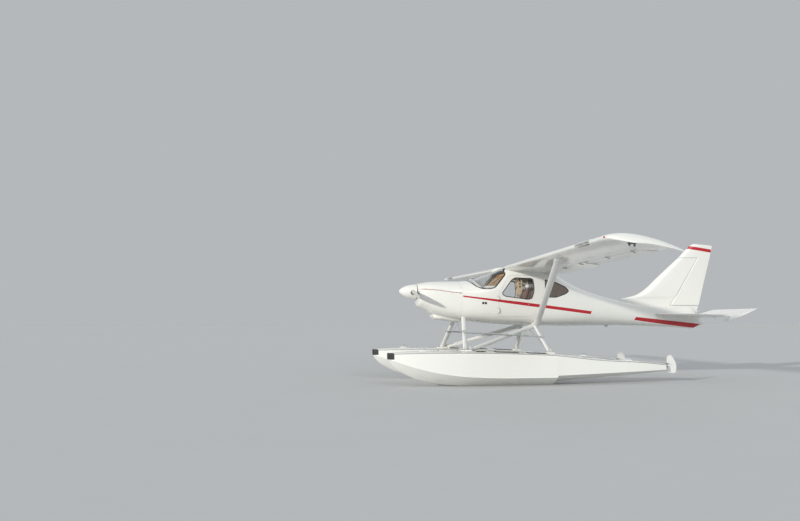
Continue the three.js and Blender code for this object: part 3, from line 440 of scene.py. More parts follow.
white_lens = lens("white_lens", (0.92, 0.92, 0.90))
dial_white = painted("dial_white", (0.75, 0.75, 0.72), 0.5, 0.05)
dial_black = painted("dial_black", (0.012, 0.012, 0.013), 0.3, 0.05)
orange_paint = painted("dial_orange", (0.75, 0.22, 0.02), 0.4, 0.05)
parting_band = painted("parting_band", (0.42, 0.19, 0.16), 0.3, 0.1)

floor_finish = Finish("studio_floor_finish", Specular_IOR_Level=0.1)
mottled = floor_finish.noise(0.9, 4)
floor_finish.put(Base_Color=(mottled * 0.3).mixed((0.62, 0.63, 0.635), (0.56, 0.57, 0.575)),
    Roughness=0.85 + mottled * 0.1)
studio_floor.data.materials.append(floor_finish.material)
print("finishes", len(bpy.data.materials))

# %% [markdown]
# Nearly every outer piece of an aeroplane is a loft: a row of sections with a smooth skin drawn over them.
# The tables hold few sections, and a curve that never overshoots is run through each column, so that the
# skin is fair between them. Openings are then cut with the boolean modifier, as a moulder cuts the windows
# out of a finished shell. The alternative, modelling round every opening by hand, gives neater quads but is
# far longer.

# %% Smooth rows and skins
def through(rows, stations):
    """Rows of a table at any stations, by a cubic through each column that doesn't overshoot."""
    rows = np.asarray(rows, float)
    at, value = rows[:, 0], rows[:, 1:]
    run = np.diff(at)[:, None]
    slope = np.diff(value, axis=0) / run
    tangent = np.vstack([slope[:1], np.zeros((len(at) - 2, value.shape[1])), slope[-1:]])
    for i in range(1, len(at) - 1):
        before, after, h0, h1 = slope[i - 1], slope[i], run[i - 1], run[i]
        safe = before * after > 0
        weight = 3 * (h0 + h1) / np.where(safe, (2 * h1 + h0) / np.where(safe, before, 1)
            + (h1 + 2 * h0) / np.where(safe, after, 1), 1)
        tangent[i] = np.where(safe, weight, 0)
    places = np.clip(np.asarray(stations, float), at[0], at[-1])
    i = np.clip(np.searchsorted(at, places, "right") - 1, 0, len(at) - 2)
    t = ((places - at[i]) / run[i, 0])[:, None]
    made = ((2 * t ** 3 - 3 * t ** 2 + 1) * value[i] + (t ** 3 - 2 * t ** 2 + t) * run[i] * tangent[i]
        + (3 * t ** 2 - 2 * t ** 3) * value[i + 1] + (t ** 3 - t ** 2) * run[i] * tangent[i + 1])
    return np.column_stack([places, made])


print("height of a curve between its rows", through([(0, 0), (1, 1), (2, 1)], [0.5])[0][1])

# %% [markdown]
# A skin is drawn over rings of points, and its ends are closed flat. A prism is a skin over two copies of
# one outline. Outlines are given by few corners, which are then rounded off.

# %% Pieces from rings and outlines
def piece_of(vertices, faces):
    """A new object from points in metres and faces, with its faces turned outwards."""
    mesh = bpy.data.meshes.new("piece")
    mesh.from_pydata([tuple(v) for v in vertices], [], faces)
    made = bpy.data.objects.new("piece", mesh)
    scene.collection.objects.link(made)
    editing = bmesh.new()
    editing.from_mesh(mesh)
    bmesh.ops.recalc_face_normals(editing, faces=editing.faces)
    editing.to_mesh(mesh)
    editing.free()
    return made


def ring_faces(count, around, closed=False):
    """Faces between count rings of so many points, flat at each end or closed on themselves."""
    faces = [(r * around + i, r * around + (i + 1) % around, (r + 1) % count * around + (i + 1) % around,
        (r + 1) % count * around + i) for r in range(count if closed else count - 1) for i in range(around)]
    return faces if closed else faces + [tuple(range(around)),
        tuple(range((count - 1) * around, count * around))]


def skin(rings, closed=False):
    """A skin over rings of points in metres."""
    return piece_of([point for ring in rings for point in ring],
        ring_faces(len(rings), len(rings[0]), closed))


def loft(rings):
    """A skin over rings of points in millimetres."""
    return skin(to_frame(rings))


def prism(outline, low, high):
    """A flat outline of station and height, pushed through from one buttock line to another."""
    return loft([[(x, y, z) for x, z in outline] for y in (low, high)])


def corner(before, here, after, radius, steps, even=True):
    """The points of a rounded corner, which never takes up more than 0.45 of a side."""
    here, back, on = Vector(here), Vector(before) - Vector(here), Vector(after) - Vector(here)
    reach = [min(radius, way.length * 0.45) for way in (back, on)]
    if even:
        reach = [min(reach)] * 2
    start, end = here + back.normalized() * reach[0], here + on.normalized() * reach[1]
    return [tuple(start * (1 - t) ** 2 + here * (2 * t * (1 - t)) + end * t ** 2)
        for t in np.linspace(0, 1, steps + 1)]


def rounded(outline, radius, steps=8):
    """A closed outline with its corners rounded off."""
    return [point for triple in zip(outline[-1:] + outline[:-1], outline, outline[1:] + outline[:1])
        for point in corner(*triple, radius, steps)]


def bent(points, reach, steps=6):
    """A path with its corners rounded."""
    rounds = [corner(*triple, reach, steps, False) for triple in zip(points, points[1:], points[2:])]
    return [points[0], *[point for made in rounds for point in made], points[-1]]


def grown(outline, gap):
    """The outline moved outwards by a gap, or inwards where that is negative."""
    area = sum(x * v - u * z for (x, z), (u, v) in zip(outline, outline[1:] + outline[:1]))
    sign = copysign(1, area)
    made = []
    for before, here, after in zip(outline[-1:] + outline[:-1], outline, outline[1:] + outline[:1]):
        a, b = (Vector(here) - Vector(before)).normalized(), (Vector(after) - Vector(here)).normalized()
        outward = Vector((a.y + b.y, -a.x - b.x)) * sign
        outward.normalize()
        lean = max(outward.dot(Vector((b.y, -b.x)) * sign), 0.5)
        made.append(tuple(Vector(here) + outward * gap / lean))
    return made


print("points of a rounded square", len(rounded([(0, 0), (1, 0), (1, 1), (0, 1)], 0.2)))

# %% [markdown]
# Modifiers do the carving, and their result is put into the mesh at once, so that the next cut starts from
# it. The last step for every piece is the same: its finish, its shading, its body and the solids it stands
# for.

# %% Carving and dressing
def bake(piece):
    """Puts what the modifiers made into the mesh itself."""
    graph = bpy.context.evaluated_depsgraph_get()
    made = bpy.data.meshes.new_from_object(piece.evaluated_get(graph))
    piece.modifiers.clear()
    old, piece.data = piece.data, made
    bpy.data.meshes.remove(old)
    return piece


def carve(piece, operation, *tools):
    """Cuts, joins or meets the piece with closed tools, which are used up."""
    for tool in tools:
        step = piece.modifiers.new("carve", "BOOLEAN")
        step.operation, step.solver, step.object = operation, "MANIFOLD", tool
    bake(piece)
    for tool in tools:
        bpy.data.objects.remove(tool)
    return piece


def cut(piece, *tools):
    return carve(piece, "DIFFERENCE", *tools)


def join(piece, *tools):
    return carve(piece, "UNION", *tools)


def meet(piece, *tools):
    return carve(piece, "INTERSECT", *tools)


def dress(name, made, finish, stands_for=(), body="airframe", sharp=34, weighted=True):
    """Gives a piece, or a list of them as one, its name, its finish, soft shading with sharp creases,
    its body and the solids it stands for."""
    piece = gather(made) if isinstance(made, list) else made
    piece.name = piece.data.name = name
    piece.data.materials.clear()
    piece.data.materials.append(finish.material)
    piece.data.shade_smooth()
    piece.data.set_sharp_from_angle(angle=radians(sharp))
    if weighted:
        shading = piece.modifiers.new("shading", "WEIGHTED_NORMAL")
        shading.keep_sharp = True
    if stands_for:
        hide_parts(*stands_for)
    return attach(piece, body)


print("helpers ready")

# %% [markdown]
# The fuselage sections are superellipses: a number for the squareness above and below the widest line turns
# an oval into the boxy cabin and back into the round tail. The same function gives the outer skin, the
# inner skin of the wall, the glass and the seals, each drawn in by its own depth.

# %% Hull sections
# station, bottom, top, half width, height of the widest line, squareness above, squareness below
COWL = [(354, 1524, 1942, 196, 1738, 2.3, 2.3), (364, 1507, 1951, 262, 1737, 2.3, 2.3),
    (385, 1490, 1957, 322, 1735, 2.3, 2.3), (425, 1468, 1965, 360, 1735, 2.4, 2.3),
    (520, 1418, 1980, 402, 1730, 2.6, 2.4), (650, 1332, 1991, 438, 1720, 2.7, 2.5),
    (900, 1262, 1997, 478, 1700, 2.7, 3.0), (1169, 1221, 1999, 505, 1680, 2.7, 3.5)]
HULL = [(1170, 1221, 1999, 505, 1680, 2.7, 3.5), (1400, 1203, 2020, 535, 1650, 2.7, 3.6),
    (1650, 1176, 2100, 557, 1620, 2.9, 3.6), (1900, 1154, 2184, 574, 1600, 3.4, 3.7),
    (2110, 1140, 2262, 583, 1590, 4.4, 3.7), (2400, 1127, 2318, 588, 1580, 5.0, 3.7),
    (2800, 1113, 2296, 580, 1570, 4.6, 3.6), (3130, 1105, 2170, 556, 1560, 3.4, 3.3),
    (3300, 1104, 2076, 536, 1550, 2.9, 3.1), (3650, 1105, 1900, 482, 1520, 2.5, 2.8),
    (3960, 1108, 1788, 426, 1490, 2.3, 2.5), (4460, 1112, 1652, 336, 1440, 2.2, 2.4),
    (5060, 1101, 1545, 238, 1380, 2.2, 2.3), (5600, 1080, 1502, 160, 1330, 2.2, 2.2),
    (5950, 1060, 1502, 112, 1300, 2.2, 2.2), (6250, 1036, 1492, 74, 1270, 2.2, 2.2),
    (6330, 1052, 1440, 58, 1250, 2.2, 2.2), (6400, 1074, 1300, 44, 1180, 2.2, 2.2),
    (6450, 1092, 1218, 33, 1155, 2.2, 2.2), (6518, 1122, 1172, 16, 1147, 2.0, 2.0)]
WALL, DOOR_WALL, GLASS, COWL_WALL = 25, 42, 6, 10


def hull_rings(rows, inset, around=96):
    rows = np.asarray(rows, float)[:, :, None]
    station, bottom, top, half, waist, above, below = (rows[:, k] for k in range(7))
    angle = 2 * np.pi * (np.arange(around) + 0.5) / around
    c, s = np.cos(angle)[None], np.sin(angle)[None]
    power = 2 / np.where(s > 0, above, below)
    reach = np.where(s > 0, top - inset - waist, waist - bottom - inset)
    y = np.maximum(half - inset, 4) * np.sign(c) * np.abs(c) ** power
    z = waist + reach * np.sign(s) * np.abs(s) ** power
    return np.stack([np.broadcast_to(station, y.shape), y, z], axis=2)


def hull(first, last, inset, spacing=45, table=HULL):
    """A closed skin over the table's sections between two stations."""
    stations = [s for s, *_ in table if first < s < last]
    fine = np.linspace(first, last, max(int((last - first) / spacing), 2) + 1)
    stations = sorted({round(float(s), 2) for s in [*fine, *stations]})
    rows = through(table, np.clip(stations, table[0][0], table[-1][0]))
    rows[:, 0] = stations
    return loft(hull_rings(rows, inset))


def on_hull(station, height, side, proud=0.0, table=HULL):
    """The point of a hull's side at a station and height, and the way it faces there."""
    def out(x, z):
        _, bottom, top, half, waist, above, below = through(table, [x])[0]
        power, reach = (above, top - waist) if z > waist else (below, waist - bottom)
        return half * max(1 - (abs(z - waist) / reach) ** power, 0.0) ** (1 / power)
    y, nudge = out(station, height), 2.0
    along = (out(station + nudge, height) - out(station - nudge, height)) / (2 * nudge)
    up = (out(station, height + nudge) - out(station, height - nudge)) / (2 * nudge)
    normal = Vector((-along, side, -up)).normalized()
    return place(station, side * y, height) + normal * proud * MM, normal


print("belly at the door", on_hull(2300, 1300, LEFT)[0][:])

# %% [markdown]
# The fuselage is one moulded shell with the fin on its tail. It is lofted solid, hollowed by a loft drawn
# in by the wall, and the windscreen, doors and rear windows are cut through it as outlines in side view.
# Both halves of the frame's fuselage are replaced by this one piece, because the seam on top is filled and
# painted over.

# %% Outlines in side view and the fin's sections
WINDSHIELD = rounded([(1335, 2500), (1335, 2006), (1440, 1890), (1560, 1835), (1700, 1828), (1822, 1852),
    (2048, 2122), (2032, 2196), (2108, 2262), (2108, 2500)], 46, 5)
DOOR = rounded([(1885, 1285), (1885, 1715), (2100, 2098), (2795, 2098), (2838, 1890), (2668, 1440),
    (2560, 1285)], 60)
DOOR_WINDOW = rounded([(1947, 1735), (2140, 1995), (2215, 2052), (2590, 2038), (2612, 1800), (2560, 1640),
    (2480, 1620), (2010, 1684)], 55)
REAR_WINDOW = rounded([(2838, 2018), (2846, 1668), (3070, 1664), (3290, 1740), (3366, 1800), (3285, 1882),
    (3060, 1972)], 34)
DOOR_GAP, DOOR_SEEN = 5, 2.2
SIDE_REACH = 700
# height, leading edge, half thickness
FIN_SECTIONS = [(1400, 4900, 26), (1655, 4660, 30), (1690, 4850, 44), (1725, 4990, 50), (1790, 5130, 52),
    (1880, 5262, 51), (2090, 5500, 45), (2320, 5768, 38), (2526, 6010, 31)]
# height, trailing edge, half thickness at the hinge
RUDDER_SECTIONS = [(1528, 6450, 37), (2050, 6598, 31), (2536, 6742, 25)]
RUDDER_HINGE = [(5832, 1522), (6425, 2455)]
# height, trailing edge of the tail cone's top under the rudder's foot
STERN_SECTIONS = [(1290, 6382), (1381, 6396), (1510, 6441)]
STERN_NOSE, STERN_HALF = 5700, 40
# share of the chord and of the half thickness: round nose and square tail, then round nose and fine tail
THIN = [(0, 0), (0.02, 0.35), (0.08, 0.66), (0.2, 0.92), (0.38, 1), (0.7, 0.93), (1, 0.82)]
FINE = [(0, 0), (0.02, 0.34), (0.08, 0.64), (0.2, 0.9), (0.38, 1), (0.65, 0.72), (1, 0.07)]


def thickness(section, count=16):
    """The section's curve, evenly spaced in the root of the chord so that the nose comes out round."""
    roots = np.linspace(0, 1, count)
    return [(t * t, wide) for t, wide in through([(sqrt(c), w) for c, w in section], roots)]


def level_at(height):
    """Lays a section flat at a height."""
    return lambda x, y: (x, y, height)


def foil_ring(section, nose, tail, half, point):
    """A closed ring round a section; point turns the place along and across into three dimensions."""
    curve = thickness(section)
    around = [(c, w) for c, w in curve] + [(c, -w) for c, w in curve[:0:-1]]
    return [point(nose + (tail - nose) * c, half * w) for c, w in around]


def hinge_station(height):
    (x0, z0), (x1, z1) = RUDDER_HINGE
    return x0 + (x1 - x0) * (height - z0) / (z1 - z0)


(foot_x, foot_z), (top_x, top_z) = RUDDER_HINGE
LEAN = hypot(top_x - foot_x, top_z - foot_z) / (top_z - foot_z)
print("the rudder's hinge line is", round(LEAN, 3), "times as long as it is high")

# %% [markdown]
# The tools that cut windows reach through one side only, so that a slanted outline can't mark the other
# side. The fin and the stern are joined to the solid hull before it is hollowed, which leaves one clean
# skin inside.

# %% Fuselage
def side_tool(outline, side, gap=0.0):
    """An outline in side view, pushed out through one side of the hull only."""
    return prism(grown(outline, gap), 150 * side, SIDE_REACH * side)


def fin():
    rings = []
    for height, nose, half in through(FIN_SECTIONS, np.linspace(1400, 2526, 44)):
        rudder_half = np.interp(height, [row[0] for row in RUDDER_SECTIONS],
            [row[2] for row in RUDDER_SECTIONS])
        tail = hinge_station(height) - LEAN * (rudder_half + DOOR_GAP)
        rings.append(foil_ring(THIN, nose, tail, half, level_at(height)))
    return loft(rings)


def stern():
    """The fin's foot, which carries its shape on down over the tail cone's end."""
    rows = through(STERN_SECTIONS, np.linspace(1290, 1510, 10))
    return loft([foil_ring(FINE, STERN_NOSE, tail, STERN_HALF, level_at(height)) for height, tail in rows])


def span(side, near, far):
    """Two buttock lines on one side, the lower first."""
    return sorted((side * near, side * far))


def block(x0, x1, y0, y1, z0, z1):
    return prism([(x0, z0), (x1, z0), (x1, z1), (x0, z1)], y0, y1)


def hull_skin(first, last, outer, inner):
    """The layer between two depths below the hull's surface."""
    return cut(hull(first, last, outer), hull(first - 5, last + 5, inner))


fuselage = hull(1170, 6518, 0)
tail_ring = block(6150, 6215, -7, 7, 1000, 1060)
join(fuselage, fin(), stern(), tail_ring)
cut(fuselage, hull(1150, 5600, WALL), prism(WINDSHIELD, -SIDE_REACH, SIDE_REACH),
    *[side_tool(outline, side) for outline in (DOOR, REAR_WINDOW) for side in (LEFT, RIGHT)])
VENT = rounded([(1557, 1530), (1557, 1575), (1652, 1572), (1652, 1527)], 7)
for side in (LEFT, RIGHT):
    pocket = side_tool(VENT, side)
    cut(pocket, hull(1400, 1800, 14))
    cut(fuselage, pocket)
dress("fuselage", fuselage, fuselage_paint, ("fuselage_left", "fuselage_right"))
print("fuselage faces", len(fuselage.data.polygons))

# %% [markdown]
# The windows are pieces of clear sheet let into the shell, held by a black rubber section that stands a
# little proud on both. Sheet and rubber are both slices of the same hull surface, cut by the same outline
# grown or drawn in, so they follow its curves everywhere.

# %% Windscreen, rear windows and their seals
# stations between which the skin is cut for each window or door
WINDSHIELD_SPAN, REAR_SPAN = (1200, 2300), (2800, 3450)
DOOR_SPAN, DOOR_WINDOW_SPAN = (1800, 2950), (1800, 2700)


def seal(name, outline, stations, tool, body="airframe", gap_out=5, gap_in=10, proud=1.6, deep=9,
        finish=seal_rubber):
    """A rubber section over the edge of an outline."""
    strip = hull_skin(*stations, -proud, deep)
    meet(strip, tool(grown(outline, gap_out)))
    cut(strip, tool(grown(outline, -gap_in)))
    return dress(name, strip, finish, body=body)


windscreen = hull_skin(*WINDSHIELD_SPAN, 0.5, GLASS)
meet(windscreen, prism(grown(WINDSHIELD, -0.5), -SIDE_REACH, SIDE_REACH))
dress("windscreen", windscreen, window_plastic, ("windshield",))
seal("windscreen_seal", WINDSHIELD, WINDSHIELD_SPAN, lambda o: prism(o, -SIDE_REACH, SIDE_REACH), gap_out=7)
for word, side in SIDES.items():
    pane = hull_skin(*REAR_SPAN, 0.5, GLASS)
    meet(pane, side_tool(REAR_WINDOW, side, -0.5))
    dress(f"rear_pane_{word}", pane, smoked_plastic, (f"rear_window_{word}",))
    seal(f"rear_window_seal_{word}", REAR_WINDOW, REAR_SPAN, lambda o: side_tool(o, side))
print("windows done")

# %% [markdown]
# Small hard parts are turned shapes, bars, blocks and pads. Real ones never have a knife edge, so each
# block has its edges eased a little to catch the light. Parts of one kind become one mesh without a
# boolean.

# %% Bars, pads and blocks
def oriented(direction):
    """The turn that brings Z into a direction."""
    return direction.to_track_quat("Z", "Y").to_matrix()


def spindle(start, end, profile, sides=28):
    """A turned shape between two points in millimetres, from shares of the way and radii."""
    a, b = Vector(start), Vector(end)
    turn = oriented((b - a).normalized())
    return loft([[tuple(a.lerp(b, share) + turn @ Vector((cos(t), sin(t), 0)) * max(radius, 0.2))
        for t in turns(sides)] for share, radius in profile])


def pin_profile(end, middle):
    """A pin's profile with chamfered ends."""
    return [(0, end), (0.1, middle), (0.9, middle), (1, end)]


def round_bar(a, b, radius, sides):
    """A round bar between two points in metres."""
    turn = oriented(b - a)
    return skin([[centre + turn @ Vector((cos(t) * radius * MM, sin(t) * radius * MM, 0))
        for t in turns(sides)] for centre in (a, b)])


def rod(start, end, radius, sides=24):
    """The same between two points in millimetres."""
    return round_bar(place(*start), place(*end), radius, sides)


def gather(pieces):
    """Several meshes as one object, without a boolean."""
    vertices, faces = [], []
    for piece in pieces:
        start = len(vertices)
        vertices += [tuple(v.co) for v in piece.data.vertices]
        faces += [tuple(start + i for i in p.vertices) for p in piece.data.polygons]
        bpy.data.objects.remove(piece)
    return piece_of(vertices, faces)


def bevel(piece, width, segments=2, angle=30):
    """Rounds the edges of a hard piece a little, so that they catch the light."""
    step = piece.modifiers.new("edge", "BEVEL")
    step.width, step.segments, step.limit_method = width * MM, segments, "ANGLE"
    step.angle_limit = radians(angle)
    step.harden_normals = False
    return bake(piece)


def box(x0, x1, y0, y1, z0, z1, edge, segments=2):
    """A block with eased edges."""
    return bevel(block(x0, x1, y0, y1, z0, z1), edge, segments)


def slab(x0, x1, y0, y1, z0, z1, radius, steps=5):
    """A flat pad with rounded corners in plan."""
    outline = rounded([(x0, y0), (x1, y0), (x1, y1), (x0, y1)], radius, steps)
    return loft([[(x, y, z) for x, y in outline] for z in (z0, z1)])


def brick(long, wide, tall, edge=2.0):
    """A block with eased edges, standing on the origin, in metres from sizes in millimetres."""
    corners = [(x * long / 2 * MM, y * wide / 2 * MM, z * MM) for z in (0, tall) for x, y in CORNERS]
    return bevel(piece_of(corners, [(0, 1, 2, 3), (4, 5, 6, 7), (0, 1, 5, 4), (1, 2, 6, 5), (2, 3, 7, 6),
        (3, 0, 4, 7)]), edge, 3)


print("a bar has", len(ring_faces(2, 24)), "faces")

# %% [markdown]
# Each door is the part of the same hull inside its outline, less a narrow gap, so that it closes flush. It
# carries its window, the window's rubber, a handle, a lock and the outer halves of its two hinges. A second
# rubber section lies at the bottom of the gap on the frame's side and stays behind when the door swings.

# %% Doors
HINGE = {"station": 1881, "out": 588, "heights": (1410, 1640), "radius": 5.5, "leaf": 24, "deep": 48}


def hinge_leaves(side, of_door):
    """The knuckles of both hinges that belong to the door, or to the frame."""
    station, out = HINGE["station"], side * HINGE["out"]
    reach = HINGE["leaf"] if of_door else -HINGE["leaf"]
    made = []
    for middle in HINGE["heights"]:
        spans = [(middle - 22, middle + 22)] if of_door else [(middle - 53, middle - 24),
            (middle + 24, middle + 53)]
        for low, high in spans:
            made.append(rod((station, out, low), (station, out, high), HINGE["radius"]))
            made.append(box(*sorted((station, station + reach)), *sorted((out - side * 18, out - side * 3)),
                low, high, 2))
            inner = sorted((station + reach * 0.45, station + reach))
            made.append(block(*inner, *sorted((out - side * HINGE["deep"], out)), low + 1, high - 1))
    return gather(made)


for word, side in SIDES.items():
    body = f"door_{word}"
    door = hull_skin(*DOOR_SPAN, 0, DOOR_WALL)
    meet(door, side_tool(DOOR, side, -DOOR_SEEN))
    cut(door, side_tool(DOOR_WINDOW, side))
    dress(f"door_{word}_panel", door, fuselage_paint, (f"door_{word}",), body=body)
    pane = hull_skin(*DOOR_WINDOW_SPAN, 1.5, GLASS)
    meet(pane, side_tool(DOOR_WINDOW, side, -0.5))
    dress(f"door_pane_{word}", pane, window_plastic, (f"door_window_{word}",), body=body)
    seal(f"door_window_seal_{word}", DOOR_WINDOW, DOOR_WINDOW_SPAN, lambda o: side_tool(o, side), body)
    seal(f"door_seal_{word}", DOOR, DOOR_SPAN, lambda o: side_tool(o, side), "airframe", 0.5, 1.9, -7, 24,
        pale_rubber)
    dress(f"door_hinge_leaf_{word}", hinge_leaves(side, True), fuselage_paint, body=body)
    dress(f"door_hinge_root_{word}", hinge_leaves(side, False), fuselage_paint)
print("doors done")

# %% [markdown]
# The cowling is two shells that part along a line a little below the thrust line. Its front is drawn in by
# a rounded lip about the spinner, a scoop hangs under its chin for the exhaust and the cooling air, and two
# oval mouths let the air in. The parting is a real gap of two millimetres, with a thin brown band painted
# along the upper shell just above it.

# %% Cowling
COWL_PARTING = [(300, 1833), (397, 1826), (713, 1802), (966, 1764), (1300, 1730)]
SCOOP_SECTIONS = [(655, 1288, 1350, 150, 1318, 2.6, 2.6), (700, 1240, 1350, 188, 1300, 2.8, 3.0),
    (900, 1217, 1350, 214, 1290, 3.0, 3.4), (1090, 1187, 1350, 222, 1275, 3.2, 3.6),
    (1169, 1180, 1350, 222, 1270, 3.2, 3.6)]
MOUTH = {"out": 212, "height": 1752, "wide": 58, "tall": 44}
THRUST = {"station": 262, "height": 1791, "tilt": 2.6, "roll": 9}
NOSE_FACE = COWL[0][0]


def cowl_skin(inset, shift=0, last=1169):
    """The cowling's skin. Its rings crowd together where the nose curves in."""
    stations = NOSE_FACE + (last - NOSE_FACE) * np.linspace(0, 1, 64) ** 2
    rings = hull_rings(through(COWL, stations), inset)
    rings[:, :, 0] += shift
    return loft(rings)


def nose_station(y, z):
    """Where the nose's surface lies at a buttock line and height."""
    for station in np.arange(NOSE_FACE, 470, 0.5):
        _, bottom, top, half, waist, above, below = through(COWL, [station])[0]
        power, reach = (above, top - waist) if z > waist else (below, waist - bottom)
        if (abs(y) / half) ** power + (abs(z - waist) / reach) ** power <= 1:
            return float(station)
    return 470.0


def oval(out, height, wide, tall, x0, x1):
    """A straight oval bar along the fuselage."""
    return loft([[(x, out + wide * cos(a), height + tall * sin(a)) for a in turns(40)] for x in (x0, x1)])


def below_parting(gap):
    line = [(x, z + gap) for x, z in COWL_PARTING]
    return prism([*line, (1300, 900), (300, 900)], -600, 600)


cowl = join(cowl_skin(0), hull(655, 1169, 0, 20, table=SCOOP_SECTIONS))
cut(cowl, cowl_skin(COWL_WALL, 24), hull(690, 1190, COWL_WALL, 20, table=SCOOP_SECTIONS),
    rod((330, 0, THRUST["height"] - 4), (450, 0, THRUST["height"] - 9), 46))
cut(cowl, *[oval(s * MOUTH["out"], MOUTH["height"], MOUTH["wide"], MOUTH["tall"], 300, 450)
    for s in (LEFT, RIGHT)])
lower_cowl = cowl.copy()
lower_cowl.data = cowl.data.copy()
scene.collection.objects.link(lower_cowl)
cut(cowl, below_parting(1.0))
meet(lower_cowl, below_parting(-1.0))
dress("cowling_top", cowl, cowling_paint, ("cowling_upper",))
dress("cowling_bottom", lower_cowl, cowling_paint, ("cowling_lower",))
# A brown band along the upper shell, from two to thirteen millimetres above the parting.
trim = meet(cut(cowl_skin(-0.7), cowl_skin(2, 4)), below_parting(13.0),
    block(395, 1168, -600, 600, 1600, 2000))
cut(trim, below_parting(2.0))
dress("cowling_pin_line", trim, parting_band)
print("cowling faces", len(cowl.data.polygons) + len(lower_cowl.data.polygons))

# %% [markdown]
# Quarter-turn fasteners hold the cowling along its rear edge and its parting: each is a dished disc with a
# screwdriver slot, and all of them are one mesh, since nobody will ever move just one. The places come from
# the hull's own surface, so that every disc lies flat on it.

# %% Fasteners
def fasteners(name, spots, finish, body="airframe", radius=7.0, proud=1.2, slot=True, sides=16):
    """Domed discs with a slot, each on its spot of a surface, as one mesh."""
    rings = [(1.0, 0.0), (1.0, proud * 0.5), (0.86, proud), (0.25, proud * 1.15)]
    vertices, faces = [], []
    for at, normal in spots:
        turn, start = oriented(normal), len(vertices)
        for share, up in rings:
            for t in turns(sides):
                spot = Vector((cos(t) * radius * share, sin(t) * radius * share, up)) * MM
                if slot and share > 0.8 and up > proud * 0.9 and abs(spot.y) < radius * 0.2 * MM:
                    spot.z -= proud * 0.6 * MM
                vertices.append(at + turn @ spot)
        faces += [tuple(start + i for i in face) for face in ring_faces(len(rings), sides)]
    return dress(name, piece_of(vertices, faces), finish, body=body, weighted=False)


def around_hull(table, station, count, first, last):
    """Points evenly spaced round one section, between two angles from the belly on each side."""
    row = through(table, [station])[0]
    ring = hull_rings([row], 0, 720)[0]
    later = hull_rings([[row[0] + 2, *through(table, [station + 2])[0][1:]]], 0, 720)[0]
    made = []
    for side in (LEFT, RIGHT):
        for angle in np.linspace(first, last, count):
            k = int(((angle - 90) * side if side == RIGHT else 180 - (angle - 90)) % 360 * 2)
            a, b = ring[k], ring[(k + 1) % 720]
            normal = Vector(later[k] - a).cross(Vector(b - a)).normalized()
            if normal.dot(Vector((0, a[1], a[2] - row[4]))) < 0:
                normal.negate()
            made.append((place(*a), normal))
    return made


rear_row = around_hull(COWL, 1150, 9, 28, 172)
parting_row = []
for side in (LEFT, RIGHT):
    for x in (470, 610, 760, 910, 1060):
        z = float(np.interp(x, [p[0] for p in COWL_PARTING], [p[1] for p in COWL_PARTING]))
        parting_row.append(on_hull(x, z + 26, side, table=COWL))
        parting_row.append(on_hull(x + 70, z - 22, side, table=COWL))
fasteners("cowling_fasteners", rear_row + parting_row, steel, radius=6.5, proud=0.9)
print("cowling fasteners", len(rear_row) + len(parting_row))

# %% [markdown]
# A rolled rim lines each of the two mouths, and a short dark duct runs back from it. The rim is a tube
# along a path that lies on the nose's surface, found by stepping aft until the section holds the point.

# %% Tubes and the cowling's mouths
def tube(points, radius, sides=12, closed=False):
    """A tube along points in millimetres. Its frame is carried along, so it never twists."""
    path = [place(*p) for p in points]
    count = len(path)
    normal = None
    rings = []
    for i, point in enumerate(path):
        ahead = path[(i + 1) % count] if closed or i + 1 < count else point
        behind = path[i - 1] if closed or i else point
        axis = (ahead - behind).normalized()
        if normal is None:
            normal = axis.orthogonal().normalized()
        normal = (normal - axis * normal.dot(axis)).normalized()
        sideways = axis.cross(normal)
        rings.append([point + (normal * cos(t) + sideways * sin(t)) * radius * MM for t in turns(sides)])
    return skin(rings, closed)


for word, side in SIDES.items():
    rim = []
    for t in turns(48):
        y = side * MOUTH["out"] + (MOUTH["wide"] + 1) * cos(t)
        z = MOUTH["height"] + (MOUTH["tall"] + 1) * sin(t)
        rim.append((nose_station(y, z) + 1, y, z))
    dress(f"mouth_rim_{word}", tube(rim, 5, closed=True), cowling_paint)
    duct = cut(oval(side * MOUTH["out"], MOUTH["height"], MOUTH["wide"] + 1, MOUTH["tall"] + 1, 392, 520),
        oval(side * MOUTH["out"], MOUTH["height"], MOUTH["wide"] - 2, MOUTH["tall"] - 2, 380, 512))
    dress(f"mouth_duct_{word}", duct, black_paint)
print("mouths done")

# %% [markdown]
# Spinner and propeller turn together on a shaft that points a little down and stands rolled nine degrees in
# the photograph. They are made about their own centre along the shaft and then set on the thrust line. The
# blades are lofts whose sections twist from root to tip, with a strip of metal let into the leading edge.

# %% Spinner
SPINNER = {"radius": 150, "length": 341, "wall": 5}
# radius, chord, thickness, pitch
BLADE_SECTIONS = [(40, 62, 58, 46), (110, 74, 50, 44), (170, 100, 34, 40), (270, 134, 24, 33),
    (450, 146, 17, 24), (560, 140, 14, 20), (700, 112, 11, 16.5), (800, 82, 9, 14.5), (870, 52, 7, 13),
    (897, 30, 5, 12.4), (905, 14, 4, 12)]
on_thrust_line = (Matrix.Translation(place(THRUST["station"], 0, THRUST["height"]))
    @ Matrix.Rotation(radians(THRUST["tilt"]), 4, "Y") @ Matrix.Rotation(radians(THRUST["roll"]), 4, "X"))


def set_on(piece, matrix):
    piece.data.transform(matrix)
    return piece


def lathe(profile, sides):
    """A closed profile of radius and place along X, in millimetres, turned about X."""
    return skin([[(x * MM, r * cos(t) * MM, r * sin(t) * MM) for r, x in profile] for t in turns(sides)],
        closed=True)


def bar_about(start, end, radius, sides=32):
    """A round bar in the propeller's own millimetres."""
    return round_bar(*[Vector([v * MM for v in point]) for point in (start, end)], radius, sides)


